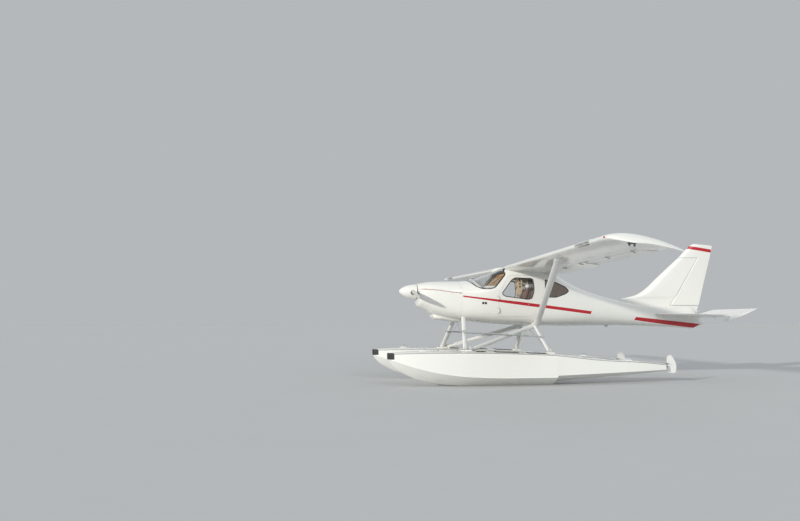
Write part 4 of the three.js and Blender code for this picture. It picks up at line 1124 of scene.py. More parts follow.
tip = -THRUST["station"]
shares = np.linspace(0.0, 1, 40) ** 1.7
outside = [(SPINNER["radius"] * (1 - (1 - s) ** 1.9) ** 0.62, tip + s * SPINNER["length"]) for s in shares]
outside[0] = (0.5, tip)
back = outside[-1][1]
inside = [(max(r - SPINNER["wall"], 0.4), min(x + SPINNER["wall"], back)) for r, x in outside[::-1]]
spinner = lathe(outside + inside, 96)
cut(spinner, bar_about((0, -300, 0), (0, 300, 0), 50))
groove = lathe([(SPINNER["radius"] + 4, back - 17), (SPINNER["radius"] + 4, back - 15),
    (SPINNER["radius"] - 1.5, back - 15), (SPINNER["radius"] - 1.5, back - 17)], 96)
cut(spinner, groove)
dress("spinner_shell", set_on(spinner, on_thrust_line), cowling_paint, ("spinner",),
    body="propeller")
screws = []
for t in turns(12):
    if abs(cos(t)) > 0.2:
        radius = SPINNER["radius"] - 0.4
        at = Vector((back - 8, radius * sin(t), radius * cos(t))) * MM
        outward = Vector((0, sin(t), cos(t)))
        screws.append((on_thrust_line @ at, on_thrust_line.to_3x3() @ outward))
fasteners("spinner_screws", screws, steel, "propeller", radius=5, proud=1.0)
print("spinner faces", len(spinner.data.polygons))

# %% [markdown]
# Each blade is a loft whose sections twist from root to tip. A strip of metal is let into its leading edge,
# a dark band marks its root and a rubber ring closes the hole in the spinner round it.

# %% Propeller
def blade_ring(sign, radius, chord, thick, pitch, grow=0.0, count=28):
    """A blade's section, from its leading edge round."""
    c, s = cos(radians(pitch)), sin(radians(pitch))
    ring = []
    for t in turns(count):
        u = cos(t) * (chord / 2 + grow)
        w = sin(t) * (1 + 0.25 * cos(t)) * (thick / 2 + grow)
        ring.append(((-u * s + w * c) * MM, sign * radius * MM, (-sign * u * c - sign * w * s) * MM))
    return ring


def blade(sign):
    rows = through(BLADE_SECTIONS, np.append(np.linspace(40, 880, 40), [888, 894, 899, 902.5, 905]))
    return skin([blade_ring(sign, *row) for row in rows])


def edge_strip(sign):
    """The metal let into the leading edge of the outer half of a blade."""
    rings = []
    for row in through(BLADE_SECTIONS, np.linspace(420, 890, 26)):
        full = blade_ring(sign, *row, grow=0.35, count=40)
        deep = blade_ring(sign, *row, grow=-0.9, count=40)
        nose = [i % 40 for i in range(-3, 4)]
        rings.append([full[i] for i in nose] + [deep[i] for i in reversed(nose)])
    return skin(rings)


hub = [bar_about((-46, 0, 0), (back - 4, 0, 0), 58), bar_about((back - 14, 0, 0), (back - 4, 0, 0), 141.6,
    64), bar_about((back - 6, 0, 0), (550 - THRUST["station"] - 1.2, 0, 0), 30)]
propeller = join(blade(1), blade(-1), *hub)
dress("propeller_blades", set_on(propeller, on_thrust_line), blade_paint, ("propeller",),
    body="propeller")
strips = gather([edge_strip(1), edge_strip(-1)])
dress("blade_edge_strips", set_on(strips, on_thrust_line), steel, body="propeller")
boots = []
for sign in (1, -1):
    rings = [blade_ring(sign, *row, grow=1.6) for row in through(BLADE_SECTIONS, np.linspace(128, 152, 5))]
    boots.append(skin(rings))
dress("blade_root_bands", set_on(gather(boots), on_thrust_line), black_paint, body="propeller")
root_seals = []
for sign in (1, -1):
    seal_ring = cut(bar_about((0, sign * 112, 0), (0, sign * 132, 0), 49.4, 48),
        skin([blade_ring(sign, *row, grow=1.0) for row in through(BLADE_SECTIONS,
        np.linspace(100, 150, 4))]))
    root_seals.append(seal_ring)
dress("blade_root_seals", set_on(gather(root_seals), on_thrust_line), pale_rubber, body="propeller")
print("propeller faces", len(propeller.data.polygons))

# %% [markdown]
# The wing is one aerofoil from root to tip: a mean line with some camber and a thickness laid on both sides
# of it. The frame's wing is cut back for the flap and the aileron by a plain block, and the surfaces have
# round noses that turn in that bay. Here they are the same curves with many more points, and the closing
# skin of the wing hangs over the gap a little, as it does on the real one, so that no light shows through.

# %% Wing sections
WING = {"leading": 2040, "height": 2250, "chord": 1118, "pitch": 5.4, "dihedral": 0.95, "root": 450,
    "flap_in": 770, "flap_out": 2525, "aileron_out": 4540, "tip_joint": 5040, "tip_end": 5335,
    "hinge": 0.745}
THICK, CAMBER, CAMBER_AT = 0.13, 0.022, 0.4
FLAP_DROOP, AILERON_TILT = 8, -1.5
WING_GAP = 6


def mean_line(c):
    if c < CAMBER_AT:
        return CAMBER / CAMBER_AT ** 2 * (2 * CAMBER_AT * c - c * c)
    return CAMBER / (1 - CAMBER_AT) ** 2 * (1 - 2 * CAMBER_AT + 2 * CAMBER_AT * c - c * c)


def half_thickness(c):
    c = max(c, 0.0)
    return 5 * THICK * (0.2969 * sqrt(c) - 0.126 * c - 0.3516 * c ** 2 + 0.2843 * c ** 3 - 0.1015 * c ** 4)


def wing_point(y, c, h):
    """A point of the wing: buttock line, share of the chord, height over the chord line in chords."""
    along, up, pitch = WING["chord"] * c, WING["chord"] * h, radians(WING["pitch"])
    return (WING["leading"] + along * cos(pitch) + up * sin(pitch), y,
        WING["height"] + abs(y) * tan(radians(WING["dihedral"])) - along * sin(pitch) + up * cos(pitch))


def wing_surface(y, c, upper, proud=0.0):
    """A point on the wing's skin and the way it faces."""
    sign = 1 if upper else -1
    def at(share):
        return place(*wing_point(y, share, mean_line(share) + sign * half_thickness(share)))
    run = (at(c + 0.01) - at(c - 0.01)).normalized()
    normal = run.cross(Vector((0, 1, 0))) * -sign
    if normal.z * sign < 0:
        normal.negate()
    return at(c) + normal.normalized() * proud * MM, normal.normalized()


def wing_ring(y, grow=0.0, first=0.0, last=1.0, fullness=1.0, count=30):
    shares = [(1 - cos(pi * i / count)) / 2 for i in range(count + 1)]
    def point(c, sign):
        h = mean_line(c) + sign * (fullness * half_thickness(c) + grow / WING["chord"])
        return wing_point(y, first + (last - first) * c, h)
    return [point(c, 1) for c in reversed(shares)] + [point(c, -1)
        for c in shares[1:-1 if not grow else None]]


def hinge_at(y):
    return wing_point(y, WING["hinge"], mean_line(WING["hinge"]))


NOSE = half_thickness(WING["hinge"])


def surface_ring(y):
    """A flap's or aileron's section: the wing's tail with a round nose about the hinge."""
    tail = [WING["hinge"] + (1 - WING["hinge"]) * s for s in np.linspace(1, 0, 12)]
    upper = [(c, mean_line(c) + half_thickness(c)) for c in tail]
    lower = [(c, mean_line(c) - half_thickness(c)) for c in reversed(tail)]
    nose = [(WING["hinge"] + NOSE * cos(a), mean_line(WING["hinge"]) + NOSE * sin(a))
        for a in np.linspace(pi / 2, 3 * pi / 2, 14)[1:-1]]
    return [wing_point(y, c, h) for c, h in upper + nose + lower]


def turned(points, start, end, degrees):
    """Points in millimetres turned about the line from start to end."""
    axis = (Vector(end) - Vector(start)).normalized()
    matrix = Matrix.Rotation(radians(degrees), 3, axis)
    return [tuple(matrix @ (Vector(p) - Vector(start)) + Vector(start)) for p in points]


def control_surface(side, inner, outer, droop):
    a, b = hinge_at(side * inner), hinge_at(side * outer)
    if side < 0:
        a, b = b, a
    return loft([turned(surface_ring(side * y), a, b, droop) for y in (inner, outer)])


print("wing area", round(2 * WING["tip_end"] * WING["chord"] / 1e6, 1), "square metres")

# %% [markdown]
# Each wing is lofted whole. The flap and aileron bay, the pocket of the landing lamps and the fuselage's
# shape are cut from it. The moulded tip droops, its rear end most, and a flap rests a little down as it
# does parked.

# %% Wings, tips, flaps and ailerons
# share of the way out, leading edge, trailing edge, fullness, droop
TIP_SECTIONS = [(0, 0, 1, 1, 0), (0.34, 0.014, 1, 0.97, 4), (0.6, 0.045, 0.995, 0.86, 16),
    (0.8, 0.1, 0.985, 0.66, 38), (0.93, 0.18, 0.97, 0.42, 62), (1, 0.3, 0.95, 0.14, 80)]
TIP_TAIL_DROOP = 55
LAMP_FROM, LAMP_TO, LAMP_DEEP = 4060, 4610, 2082


def wing_bay(side):
    """The block that clears room for the flap and the aileron."""
    front = hinge_at(0)[0] - NOSE * WING["chord"] - WING_GAP
    return block(front, 3400, *span(side, WING["flap_in"] - WING_GAP, WING["aileron_out"] + WING_GAP), 1900,
        2600)


def wing_tip(side):
    start = WING["tip_joint"] + 1
    reach = WING["tip_end"] - start
    rings = []
    for out, first, last, full, droop in through(TIP_SECTIONS, 1 - (1 - np.linspace(0, 1, 26)) ** 1.6):
        ring = wing_ring(side * (start + reach * out), 0, first, last, full)
        tail_droop = TIP_TAIL_DROOP * float(np.interp(out, [0, 0.06, 0.19, 0.25], [0, 0.15, 0.85, 1]))
        rings.append([(x, y, z - droop * 0.8 - tail_droop * ((x - WING["leading"]) / WING["chord"]) ** 3)
            for x, y, z in ring])
    return loft(rings)


for word, side in SIDES.items():
    wing = loft([wing_ring(side * y) for y in np.linspace(WING["root"], WING["tip_joint"], 12)])
    pocket = block(1900, LAMP_DEEP, *span(side, LAMP_FROM + 14, LAMP_TO - 14), 2150, 2500)
    cut(wing, wing_bay(side), pocket, hull(1500, 3600, 4, 60))
    dress(f"wing_{word}_panel", wing, wing_paint, (f"wing_{word}",))
    dress(f"wing_{word}_tip", wing_tip(side), wing_paint, (f"wing_tip_{word}",))
    flap = control_surface(side, WING["flap_in"], WING["flap_out"], FLAP_DROOP)
    dress(f"flap_{word}_panel", flap, wing_paint, (f"flap_{word}",), body=f"flap_{word}")
    aileron = control_surface(side, WING["flap_out"] + 7, WING["aileron_out"], side * AILERON_TILT)
    dress(f"aileron_{word}_panel", aileron, wing_paint, (f"aileron_{word}",),
        body=f"aileron_{word}")
print("wings done")

# %% [markdown]
# The struts are drawn tubes with a drop-shaped section, blunt in front and fine behind. One function sweeps
# that section from end to end. Where they meet the hull or the wing they run a little way into it, so the
# joint needs no cutting, and a fitting covers it.

# %% Struts
FLOAT_TRACK, FOOT_TRACK = 1083, 1035
LIFT = {"foot": (2690, 470, 1136), "top": (2237, 2905, 2252), "chord": 118, "thick": 44}
TRUSS = {"front": ((1088, FOOT_TRACK, 640), (1232, 322, 1319), 88, 38),
    "rear": ((2748, FOOT_TRACK, 580), (2636, 321, 1218), 78, 36),
    "diagonal": ((1168, FOOT_TRACK, 652), (2625, 445, 1106), 76, 34)}
SPREADERS = {"front": (1090, 560), "rear": (2745, 510)}
SPREADER_SEAT = 306
STEP_BAR = {"out": 765, "front": (1158, 992), "rear": (2688, 898)}


def mirrored(point, side):
    return (point[0], side * point[1], point[2])


def strut_frame(start, end):
    """The ends, the axis and the section's two directions: along the air, or upright in a sloping bar."""
    a, b = Vector(start), Vector(end)
    axis = (b - a).normalized()
    sloping = abs(axis.x) > 0.8
    air = Vector((1, 0, -0.14))
    along = axis.cross(Vector((0, -1, 0))) if sloping else air - axis * axis.dot(air)
    along.normalize()
    return a, b, axis, along, axis.cross(along)


FINE_TAIL = 0.22


def strut(start, end, chord, thick, steps, count=40):
    """A drop-shaped bar or sleeve between two points, from shares of the way and growths."""
    a, b, axis, along, sideways = strut_frame(start, end)
    return loft([[tuple(a.lerp(b, share) + along * (cos(t) * (chord / 2 + grow))
        + sideways * (sin(t) * (1 - FINE_TAIL * cos(t)) * (thick / 2 + grow))) for t in turns(count)]
        for share, grow in steps])


def into_hull(bar, part):
    """Cuts off what of a truss strut lies inside the fuselage, or inside the cowling for the front one."""
    cut(bar, hull(600, 3300, 6, 60, table=COWL + HULL[1:] if part == "front" else HULL))


for word, side in SIDES.items():
    foot, top = (mirrored(LIFT[end], side) for end in ("foot", "top"))
    lift = strut(foot, top, LIFT["chord"], LIFT["thick"], [(0, 0), (0.985, 0)], 36)
    cut(lift, hull(2300, 3100, 6, 60))
    dress(f"lift_strut_{word}_tube", lift, strut_paint, (f"lift_strut_{word}",))
    for part, (foot, top, chord, thick) in TRUSS.items():
        bar = strut(mirrored(foot, side), mirrored(top, side), chord, thick, [(0, 0), (1, 0)], 36)
        into_hull(bar, part)
        dress(f"truss_{part}_{word}", bar, strut_paint, (f"float_strut_{part}_{word}",))
print("struts done")

# %% [markdown]
# The tailplane has a fixed front and an elevator behind it, whose tips reach forward as horns that balance
# it. The elevator hangs trailing edge up in the photograph, so its sections are turned by that angle about
# their hinge. The rudder has the same round nose about a leaning hinge, and its horn is the cap of the fin.

# %% Tailplane, elevator and rudder
TAIL = {"root_leading": 5330, "tip_leading": 6030, "hinge": 6280, "height": 1282, "pitch": 3.5,
    "stab_tip": 1542, "elevator_root": 120, "skew": 130, "elevator_tip": 1750, "chord": 380, "horn": 262,
    "tube": 20}
ELEVATOR_UP = 25
ELEVATOR_HALF = {"root": 26, "tip": 18}
TAIL_GAP = 6
# height, leading edge, trailing edge, half thickness
HORN_SECTIONS = [(2536, 6022, 6742, 30), (2700, 6190, 6783, 26), (2795, 6300, 6806, 22),
    (2832, 6372, 6440, 8)]


def tail_point(y, along, up):
    pitch = radians(TAIL["pitch"])
    return (TAIL["hinge"] + along * cos(pitch) + up * sin(pitch), y,
        TAIL["height"] - along * sin(pitch) + up * cos(pitch))


def stabilizer(side):
    def ring(y, nose, half, rear):
        return foil_ring(THIN, nose, rear, half, lambda x, up: tail_point(side * y, x, up))
    leading, hinge = TAIL["root_leading"], TAIL["hinge"]
    tip_rear = -ELEVATOR_HALF["tip"] - TAIL_GAP
    rings = [ring(40, leading - 60 - hinge, 34, -ELEVATOR_HALF["root"] - TAIL_GAP),
        ring(TAIL["stab_tip"] - 30, TAIL["tip_leading"] - 12 - hinge, 23, tip_rear),
        ring(TAIL["stab_tip"] - 10, TAIL["tip_leading"] - 6 - hinge, 21, tip_rear),
        ring(TAIL["stab_tip"], TAIL["tip_leading"] + 6 - hinge, 16, tip_rear)]
    return cut(loft(rings), hull(5100, 6450, 3, 60))


def elevator_point(y, along, up):
    lift = radians(ELEVATOR_UP)
    return tail_point(y, along * cos(lift) - up * sin(lift), along * sin(lift) + up * cos(lift))


def panel_section(half, chord, point):
    """A straight taper behind a hinge and a round nose in front of it."""
    tail = [(1, 0.08), (0.75, 0.36), (0.5, 0.6), (0.25, 0.82), (0, 1)]
    nose = [(cos(a), sin(a)) for a in np.linspace(pi / 2, 3 * pi / 2, 14)[1:-1]]
    return ([point(chord * c, half * w) for c, w in tail] + [point(half * c, half * s) for c, s in nose]
        + [point(chord * c, -half * w) for c, w in reversed(tail)])


def elevator():
    horn_in = TAIL["stab_tip"] + TAIL_GAP
    pieces = [rod((TAIL["hinge"], -TAIL["elevator_root"] - 20, TAIL["height"]),
        (TAIL["hinge"], TAIL["elevator_root"] + 20, TAIL["height"]), TAIL["tube"])]
    for side in (LEFT, RIGHT):
        def skewed(y, skew):
            return lambda along, up: elevator_point(side * (y + skew * max(along, 0) / TAIL["chord"]),
                along, up)
        pieces.append(loft([panel_section(ELEVATOR_HALF["root"], TAIL["chord"],
            skewed(TAIL["elevator_root"], TAIL["skew"])), panel_section(ELEVATOR_HALF["tip"], TAIL["chord"],
            skewed(horn_in + 30, 0))]))
        rings = []
        for y, nose, tail, half in ((horn_in, 6, 0, 19), (horn_in + 6, 0, 0, 20),
                (TAIL["elevator_tip"] - 45, 0, 0, 19), (TAIL["elevator_tip"] - 15, 12, 3, 15),
                (TAIL["elevator_tip"], 40, 10, 8)):
            rings.append(foil_ring(FINE, -TAIL["horn"] + nose, TAIL["chord"] - tail, half, lambda x, up,
                y=y: elevator_point(side * y, x, up)))
        pieces.append(loft(rings))
    return join(*pieces)


def rudder():
    rings = []
    for height, trailing, half in through(RUDDER_SECTIONS, np.linspace(1528, 2536, 14)):
        hinge = hinge_station(height)
        section = panel_section(half, trailing - hinge, level_at(height))
        rings.append([(hinge + (x * LEAN if x < 0 else x), y, z) for x, y, z in section])
    heights = [2536, 2600, 2650, 2700, 2750, 2780, 2795, 2808, 2819, 2827, 2832]
    rows = through(HORN_SECTIONS, heights)
    cap = [foil_ring(FINE, nose, tail, half, level_at(height)) for height, nose, tail, half in rows]
    pin = rod((hinge_station(1445), 0, 1445), (hinge_station(1560), 0, 1560), 14)
    return join(loft(rings), loft(cap), pin)


for word, side in SIDES.items():
    dress(f"tailplane_{word}", stabilizer(side), wing_paint, (f"stabilizer_{word}",))
dress("elevator_panels", elevator(), wing_paint, ("elevator",), body="elevator")
dress("rudder_panel", rudder(), rudder_paint, ("rudder",), body="rudder")
print("tail done")

# %% [markdown]
# A float is a boat's hull with a deck: a vee bottom whose sides turn up at a sharp chine, slab sides that
# lean in, and a crowned deck with rounded edges. Under the step the bottom jumps up by the depth of the
# vee, which is what lets the aeroplane break free of the water. The step is two rings almost at the same
# station.

# %% Floats
# station, keel, chine, half width at the chine, deck edge, its half width, crown of the deck
FLOAT_SECTIONS = [(-375, 486, 522, 52, 598, 62, 620), (-340, 430, 504, 96, 602, 92, 626),
    (-250, 338, 468, 150, 606, 138, 634), (-100, 245, 412, 205, 612, 184, 642),
    (160, 130, 335, 268, 618, 240, 652), (600, 38, 240, 318, 620, 286, 654),
    (1090, 0, 182, 335, 616, 305, 648), (1900, 0, 152, 338, 596, 310, 624),
    (2750, 0, 152, 332, 558, 304, 584)]
AFTER_SECTIONS = [(2756, 58, 186, 326, 557, 303, 583), (3725, 128, 214, 262, 450, 240, 472),
    (4540, 186, 240, 188, 402, 172, 419), (5025, 222, 256, 118, 350, 108, 363)]
KEEL_STRIP = 13
STEP_AT = 2753
DECK_SHARE = 0.93
# station, out from the float's middle, half length, half width, top
PADS = [(1100, FOOT_TRACK - FLOAT_TRACK, 105, 42, 668), (2745, FOOT_TRACK - FLOAT_TRACK, 80, 42, 606),
    (260, 0, 70, 32, 668), (4300, 0, 60, 28, 450)]
WATER_RUDDER = {"post": 5078, "lug": (322, 340)}


def float_ring(row, middle, grow=0.0):
    """Keel strip, bottom, chine, side, rounded deck edge and crowned deck, then the other side's."""
    station, keel, chine, chine_half, edge, edge_half, crown = row
    half = [(KEEL_STRIP, keel - grow)]
    half += [(KEEL_STRIP + (chine_half - KEEL_STRIP) * t, keel - grow * 0.7
        + (chine - keel) * (t - 0.045 * sin(pi * t))) for t in np.linspace(0, 1, 9)[1:-1]]
    half += [(chine_half + grow, chine), (chine_half + grow, chine + 5),
        (chine_half + grow - 4, chine + 14)]
    half += [(chine_half + (edge_half - chine_half) * t + grow, chine + 14 + (edge - 26 - chine - 14) * t)
        for t in (0.33, 0.66)]
    bend = ((edge_half, edge - 26), (edge_half, edge - 4), (edge_half * DECK_SHARE, edge))
    for t in np.linspace(0, 1, 7):
        a, b, c = (1 - t) ** 2, 2 * t * (1 - t), t * t
        half.append((sum(w * p[0] for w, p in zip((a, b, c), bend)) + grow * (1 - t),
            sum(w * p[1] for w, p in zip((a, b, c), bend)) + grow * t))
    half += [(edge_half * DECK_SHARE * t, edge + (crown - edge) * (1 - t * t) + grow)
        for t in (0.8, 0.6, 0.4, 0.2)]
    around = half + [(0, crown + grow)] + [(-y, z) for y, z in reversed(half)]
    return [(station, middle + y, z) for y, z in around]


def float_skin(middle, grow=0.0, ahead=0.0):
    """The float's skin, grown sideways and ahead of its bow."""
    rows = list(through(FLOAT_SECTIONS, sorted({*np.linspace(-375, 200, 26), *np.linspace(200, 2750, 40)})))
    rows += list(through(AFTER_SECTIONS, np.linspace(2756, 5025, 30)))
    rings = [float_ring(row, middle, grow) for row in rows]
    if ahead:
        rings.insert(0, [(x - ahead, middle + (y - middle) * 0.9, z) for x, y, z in rings[0]])
    return loft(rings)


for word, side in SIDES.items():
    middle = side * FLOAT_TRACK
    hull_piece = float_skin(middle)
    post, (low, high) = WATER_RUDDER["post"], WATER_RUDDER["lug"]
    lug = join(block(4990, post, middle - 12, middle + 12, low, high),
        rod((post, middle, low), (post, middle, high), 12))
    pads = [bevel(slab(x - long, x + long, middle + side * out - wide, middle + side * out + wide, top - 70,
        top, 14), 5, 3) for x, out, long, wide, top in PADS]
    join(hull_piece, lug, *pads)
    dress(f"float_{word}_hull", hull_piece, float_paint, (f"float_{word}",))
print("floats done")

# %% [markdown]
# Through the windows the eye meets the welded tube cage that carries the wings, two seats, the sticks
# between the knees and the panel. The tubes are bent, not mitred, so each one is a sweep along a path whose
# corners are rounded, with a sleeve where it is welded to the next. They stand on small plates bolted to
# the floor.

# %% Cabin floor, firewall and cage
def cabin(first, last):
    """The space inside the fuselage's wall."""
    return hull(first, last, WALL + 1, 60)


def collar(at, towards, length, radius, sides=24):
    """A short sleeve with chamfered ends, from a point in a direction."""
    a = Vector(at)
    b = a + Vector(towards).normalized() * length
    edge = min(2.0 / length, 0.3)
    return spindle(a, b, [(0, radius - 2), (edge, radius), (1 - edge, radius), (1, radius - 2)], sides)


headlining = hull_skin(1700, 3480, WALL + 1, WALL + 4)
cut(headlining, block(1600, 3500, -700, 700, 1000, 1215), prism(grown(WINDSHIELD, 14), -SIDE_REACH,
    SIDE_REACH), *[side_tool(outline, side, 14) for outline in (DOOR, REAR_WINDOW)
    for side in (LEFT, RIGHT)])
dress("cabin_lining", headlining, lining)

CAGE_RADIUS, FLOOR_TOP = 14, 1200.5
floor_sheet = meet(block(1184, 3060, -600, 600, 1192, 1200), cabin(1150, 3200))
dress("cabin_carpet", floor_sheet, carpet, ("cabin_floor",))
firewall = meet(block(1172, 1180, -600, 600, 1100, 2100), cabin(1150, 1250))
beads = [box(1178, 1186, y - 9, y + 9, 1215, 1870, 3) for y in (-330, -110, 110, 330)]
join(firewall, *beads)
dress("firewall_sheet", firewall, aluminium, ("firewall",))

cage = []
bolts = []
for side in (LEFT, RIGHT):
    loop = [(1925, 275, FLOOR_TOP), (1925, 490, 1500), (1925, 490, 1700), (2165, 430, 2150),
        (2800, 430, 2140), (2800, 490, 1500), (2800, 385, FLOOR_TOP)]
    cage.append(tube(bent([mirrored(p, side) for p in loop], 60), CAGE_RADIUS, sides=18))
    top, foot = (2165, 60 * side, 2150), (1800, 370 * side, 1828)
    cage.append(tube([top, foot], CAGE_RADIUS, sides=18))
    cage.append(collar(foot, Vector(top) - Vector(foot), 46, CAGE_RADIUS + 4))
    cage.append(collar(top, Vector(foot) - Vector(top), 34, CAGE_RADIUS + 4))
    for x, y in ((1925, 275), (2800, 385)):
        cage.append(bevel(slab(x - 42, x + 42, side * y - 36, side * y + 36, FLOOR_TOP, FLOOR_TOP + 6, 8),
            1.5))
        bolts += [(place(x + dx, side * y + dy, FLOOR_TOP + 6), UPWARDS) for dx in (-30, 30)
            for dy in (-24, 24)]
    for x, z in ((2165, 2150), (2800, 2140)):
        cage.append(collar((x, side * 396, z), (0, side, 0), 34, CAGE_RADIUS + 3))
for x, z in ((2165, 2150), (2800, 2140)):
    cage.append(tube([(x, -430, z), (x, 430, z)], CAGE_RADIUS, sides=18))
dress("cage_tubes", cage, tan_paint, ("cabin_cage",))
fasteners("cage_bolts", bolts, steel, radius=6, proud=4, slot=False, sides=6)
print("cage pieces", len(cage))

# %% [markdown]
# The engine is hidden by its cowling until someone lifts it, so it is modelled only as far as that: a
# crankcase with four finned cylinders lying flat, a gearbox in front, the carburettors, the silencer and
# the tube mount. A fin is a step in a turned profile, which costs no more than the plain barrel would.

# %% Engine
def finned(x, side):
    """A cylinder lying across, with its cooling fins, its head and its rocker cover."""
    start, end = Vector((x, side * 108, 1652)), Vector((x, side * 300, 1652))
    profile = [(0, 64)]
    for fin_at in np.linspace(0.06, 0.94, 12):
        profile += [(fin_at, 60), (fin_at + 0.004, 80), (fin_at + 0.022, 80), (fin_at + 0.026, 60)]
    barrel = spindle(start, end, [*profile, (1, 64)], 40)
    head = box(x - 74, x + 74, *span(side, 298, 356), 1584, 1722, 9, 3)
    cover = box(x - 58, x + 58, *span(side, 354, 392), 1600, 1704, 12, 3)
    return [barrel, head, cover]


engine = [box(640, 1004, -112, 112, 1552, 1752, 16, 3), box(660, 980, -70, 70, 1470, 1556, 12, 3),
    spindle((552, 0, 1784), (644, 0, 1784), [(0, 56), (0.2, 60), (0.24, 86), (0.9, 96), (1, 96)], 48),
    box(1000, 1062, -92, 92, 1572, 1732, 10, 3), spindle((1010, -250, 1560), (1010, -250, 1740),
    [(0, 40), (0.06, 52), (0.94, 52), (1, 40)], 36)]
pipes = []
for side in (LEFT, RIGHT):
    for x in (728, 896):
        engine += finned(x, side)
        pipes.append(tube(bent([(x, side * 320, 1590), (x, side * 320, 1470), (x + 50, side * 170, 1420)],
            60, 8), 19, sides=18))
    engine.append(spindle((812, side * 60, 1752), (812, side * 60, 1838),
        [(0, 26), (0.3, 34), (0.8, 34), (1, 20)]))
    for z in (1490, 1702):
        pipes.append(tube([(1040, side * 84, (z + 1650) / 2), (1170, side * 168, z)], 12, sides=16))
pipes.append(spindle((850, -190, 1405), (850, 190, 1405), [(0, 40), (0.03, 62), (0.97, 62), (1, 40)], 40))
pipes.append(tube(bent([(850, 60, 1360), (850, 60, 1310), (1100, 60, 1262)], 70, 8), 24, sides=20))
dress("engine_parts", engine, aluminium, ("engine_block",))
dress("engine_pipes", pipes, dark_steel)
print("engine parts", len(engine) + len(pipes))

# %% [markdown]
# The panel stands under a padded shelf that keeps the sun off the dials. Every dial is a black face in a
# turned ring, with marks and a needle standing a hair off it, so that they show without any lettering. A
# white case lies on the shelf behind the windscreen, where the photograph shows something pale.

# %% Instrument panel
PANEL_FACE = 1790
panel = meet(prism([(1300, 1806), (1520, 1812), (1770, 1812), (1790, 1800), (1790, 1560), (1760, 1560),
    (1760, 1784), (1300, 1784)], -600, 600), cabin(1250, 1900))
dress("panel_and_shelf", panel, black_paint, ("instrument_panel",))
half = abs(on_hull(PANEL_FACE, 1800, RIGHT)[0].y) / MM - WALL - 12
roll = tube([(PANEL_FACE - 3, y, 1801) for y in np.linspace(-half, half, 9)], 9, sides=16)
dress("shelf_roll", roll, seal_rubber)


def box_mark(y, z, angle, r0, r1, wide, x, thick=1.0):
    """A small bar lying on a dial, from one radius to another."""
    c, s = cos(angle), sin(angle)
    corners = [(r0, -wide), (r1, -wide * 0.6), (r1, wide * 0.6), (r0, wide)]
    return loft([[(x + up, y + r * c - w * s, z + r * s + w * c) for r, w in corners] for up in (0, thick)])


rings, dial_faces, marks, needles = [], [], [], []
rng = random.Random(7)
dials = [(-430 + 92 * k, 1716 - 92 * row, 38) for row in (0, 1) for k in range(3)]
dials += [(150 + 74 * k, 1722 - 76 * row, 29) for row in (0, 1) for k in range(4)]
for y, z, r in dials:
    ring = lathe([(r - 4, 0), (r - 3, 7), (r + 3, 7), (r + 6, 0)], 36)
    rings.append(set_on(ring, Matrix.Translation(place(PANEL_FACE, y, z))))
    disc = lathe([(0.3, 0.2), (0.3, 2.0), (r - 3, 2.0), (r - 3, 0.2)], 36)
    dial_faces.append(set_on(disc, Matrix.Translation(place(PANEL_FACE, y, z))))
    marks += [box_mark(y, z, a, r * 0.68, r * 0.84, 1.1, PANEL_FACE + 2)
        for a in np.linspace(-0.7, pi + 0.7, 11)]
    needles.append(box_mark(y, z, rng.uniform(0.2, 2.9), -r * 0.15, r * 0.7, 1.8, PANEL_FACE + 3))
dress("dial_rings", rings, dark_steel)
dress("dial_faces", dial_faces, dial_black)
dress("dial_marks", marks, dial_white, weighted=False)
dress("dial_needles", needles, orange_paint, weighted=False)

controls = []
for k, z in enumerate((1738, 1690, 1642)):
    controls.append(box(PANEL_FACE - 4, PANEL_FACE + 9, -90, 78, z - 20, z + 20, 3))
    controls += [spindle((PANEL_FACE + 8, y, z), (PANEL_FACE + 26, y, z), [(0, 9), (0.8, 8.5), (1, 6)], 20)
        for y in (-74, 62)]
for k in range(7):
    controls.append(box(PANEL_FACE - 3, PANEL_FACE + 11, -440 + 30 * k, -424 + 30 * k, 1578, 1600, 2))
dress("panel_radios_and_switches", controls, grey_paint)
knobs = []
for y, long, z in ((-40, 70, 1592), (0, 52, 1592), (40, 60, 1592)):
    knobs.append(spindle((PANEL_FACE - 2, y, z), (PANEL_FACE + long, y, z),
        [(0, 5), (0.62, 5), (0.66, 14), (0.8, 17), (0.95, 15), (1, 8)], 24))
dress("engine_knobs", knobs, dial_black)
case = box(1662, 1842, -490, -282, 1813, 1893, 14, 4)
dress("shelf_case", case, dial_white)
case_seam = cut(box(1660.6, 1843.4, -491.4, -280.6, 1856, 1859, 13, 3),
    box(1663, 1841, -489, -283, 1850, 1865, 12, 3))
dress("shelf_case_seam", case_seam, grey_paint)
print("dials", len(dials))

# %% [markdown]
# A seat is a thin moulded shell on a box, with two loose cushions. A cushion starts as a slightly small
# block of small squares, and a cloth simulation with air pressure inside swells it between its fixed
# underside and its rounded edges. The seams are drawn in afterwards, because remeshing would wash them out.
# The left seat's cushions are simulated once and copied for the right one.

# %% Cushions
VOXEL, CLOTH_FRAMES, SWELL_LIMIT = 0.012, 20, 13.0
SEAM_DEPTH, SEAM_WIDTH = 8, 7


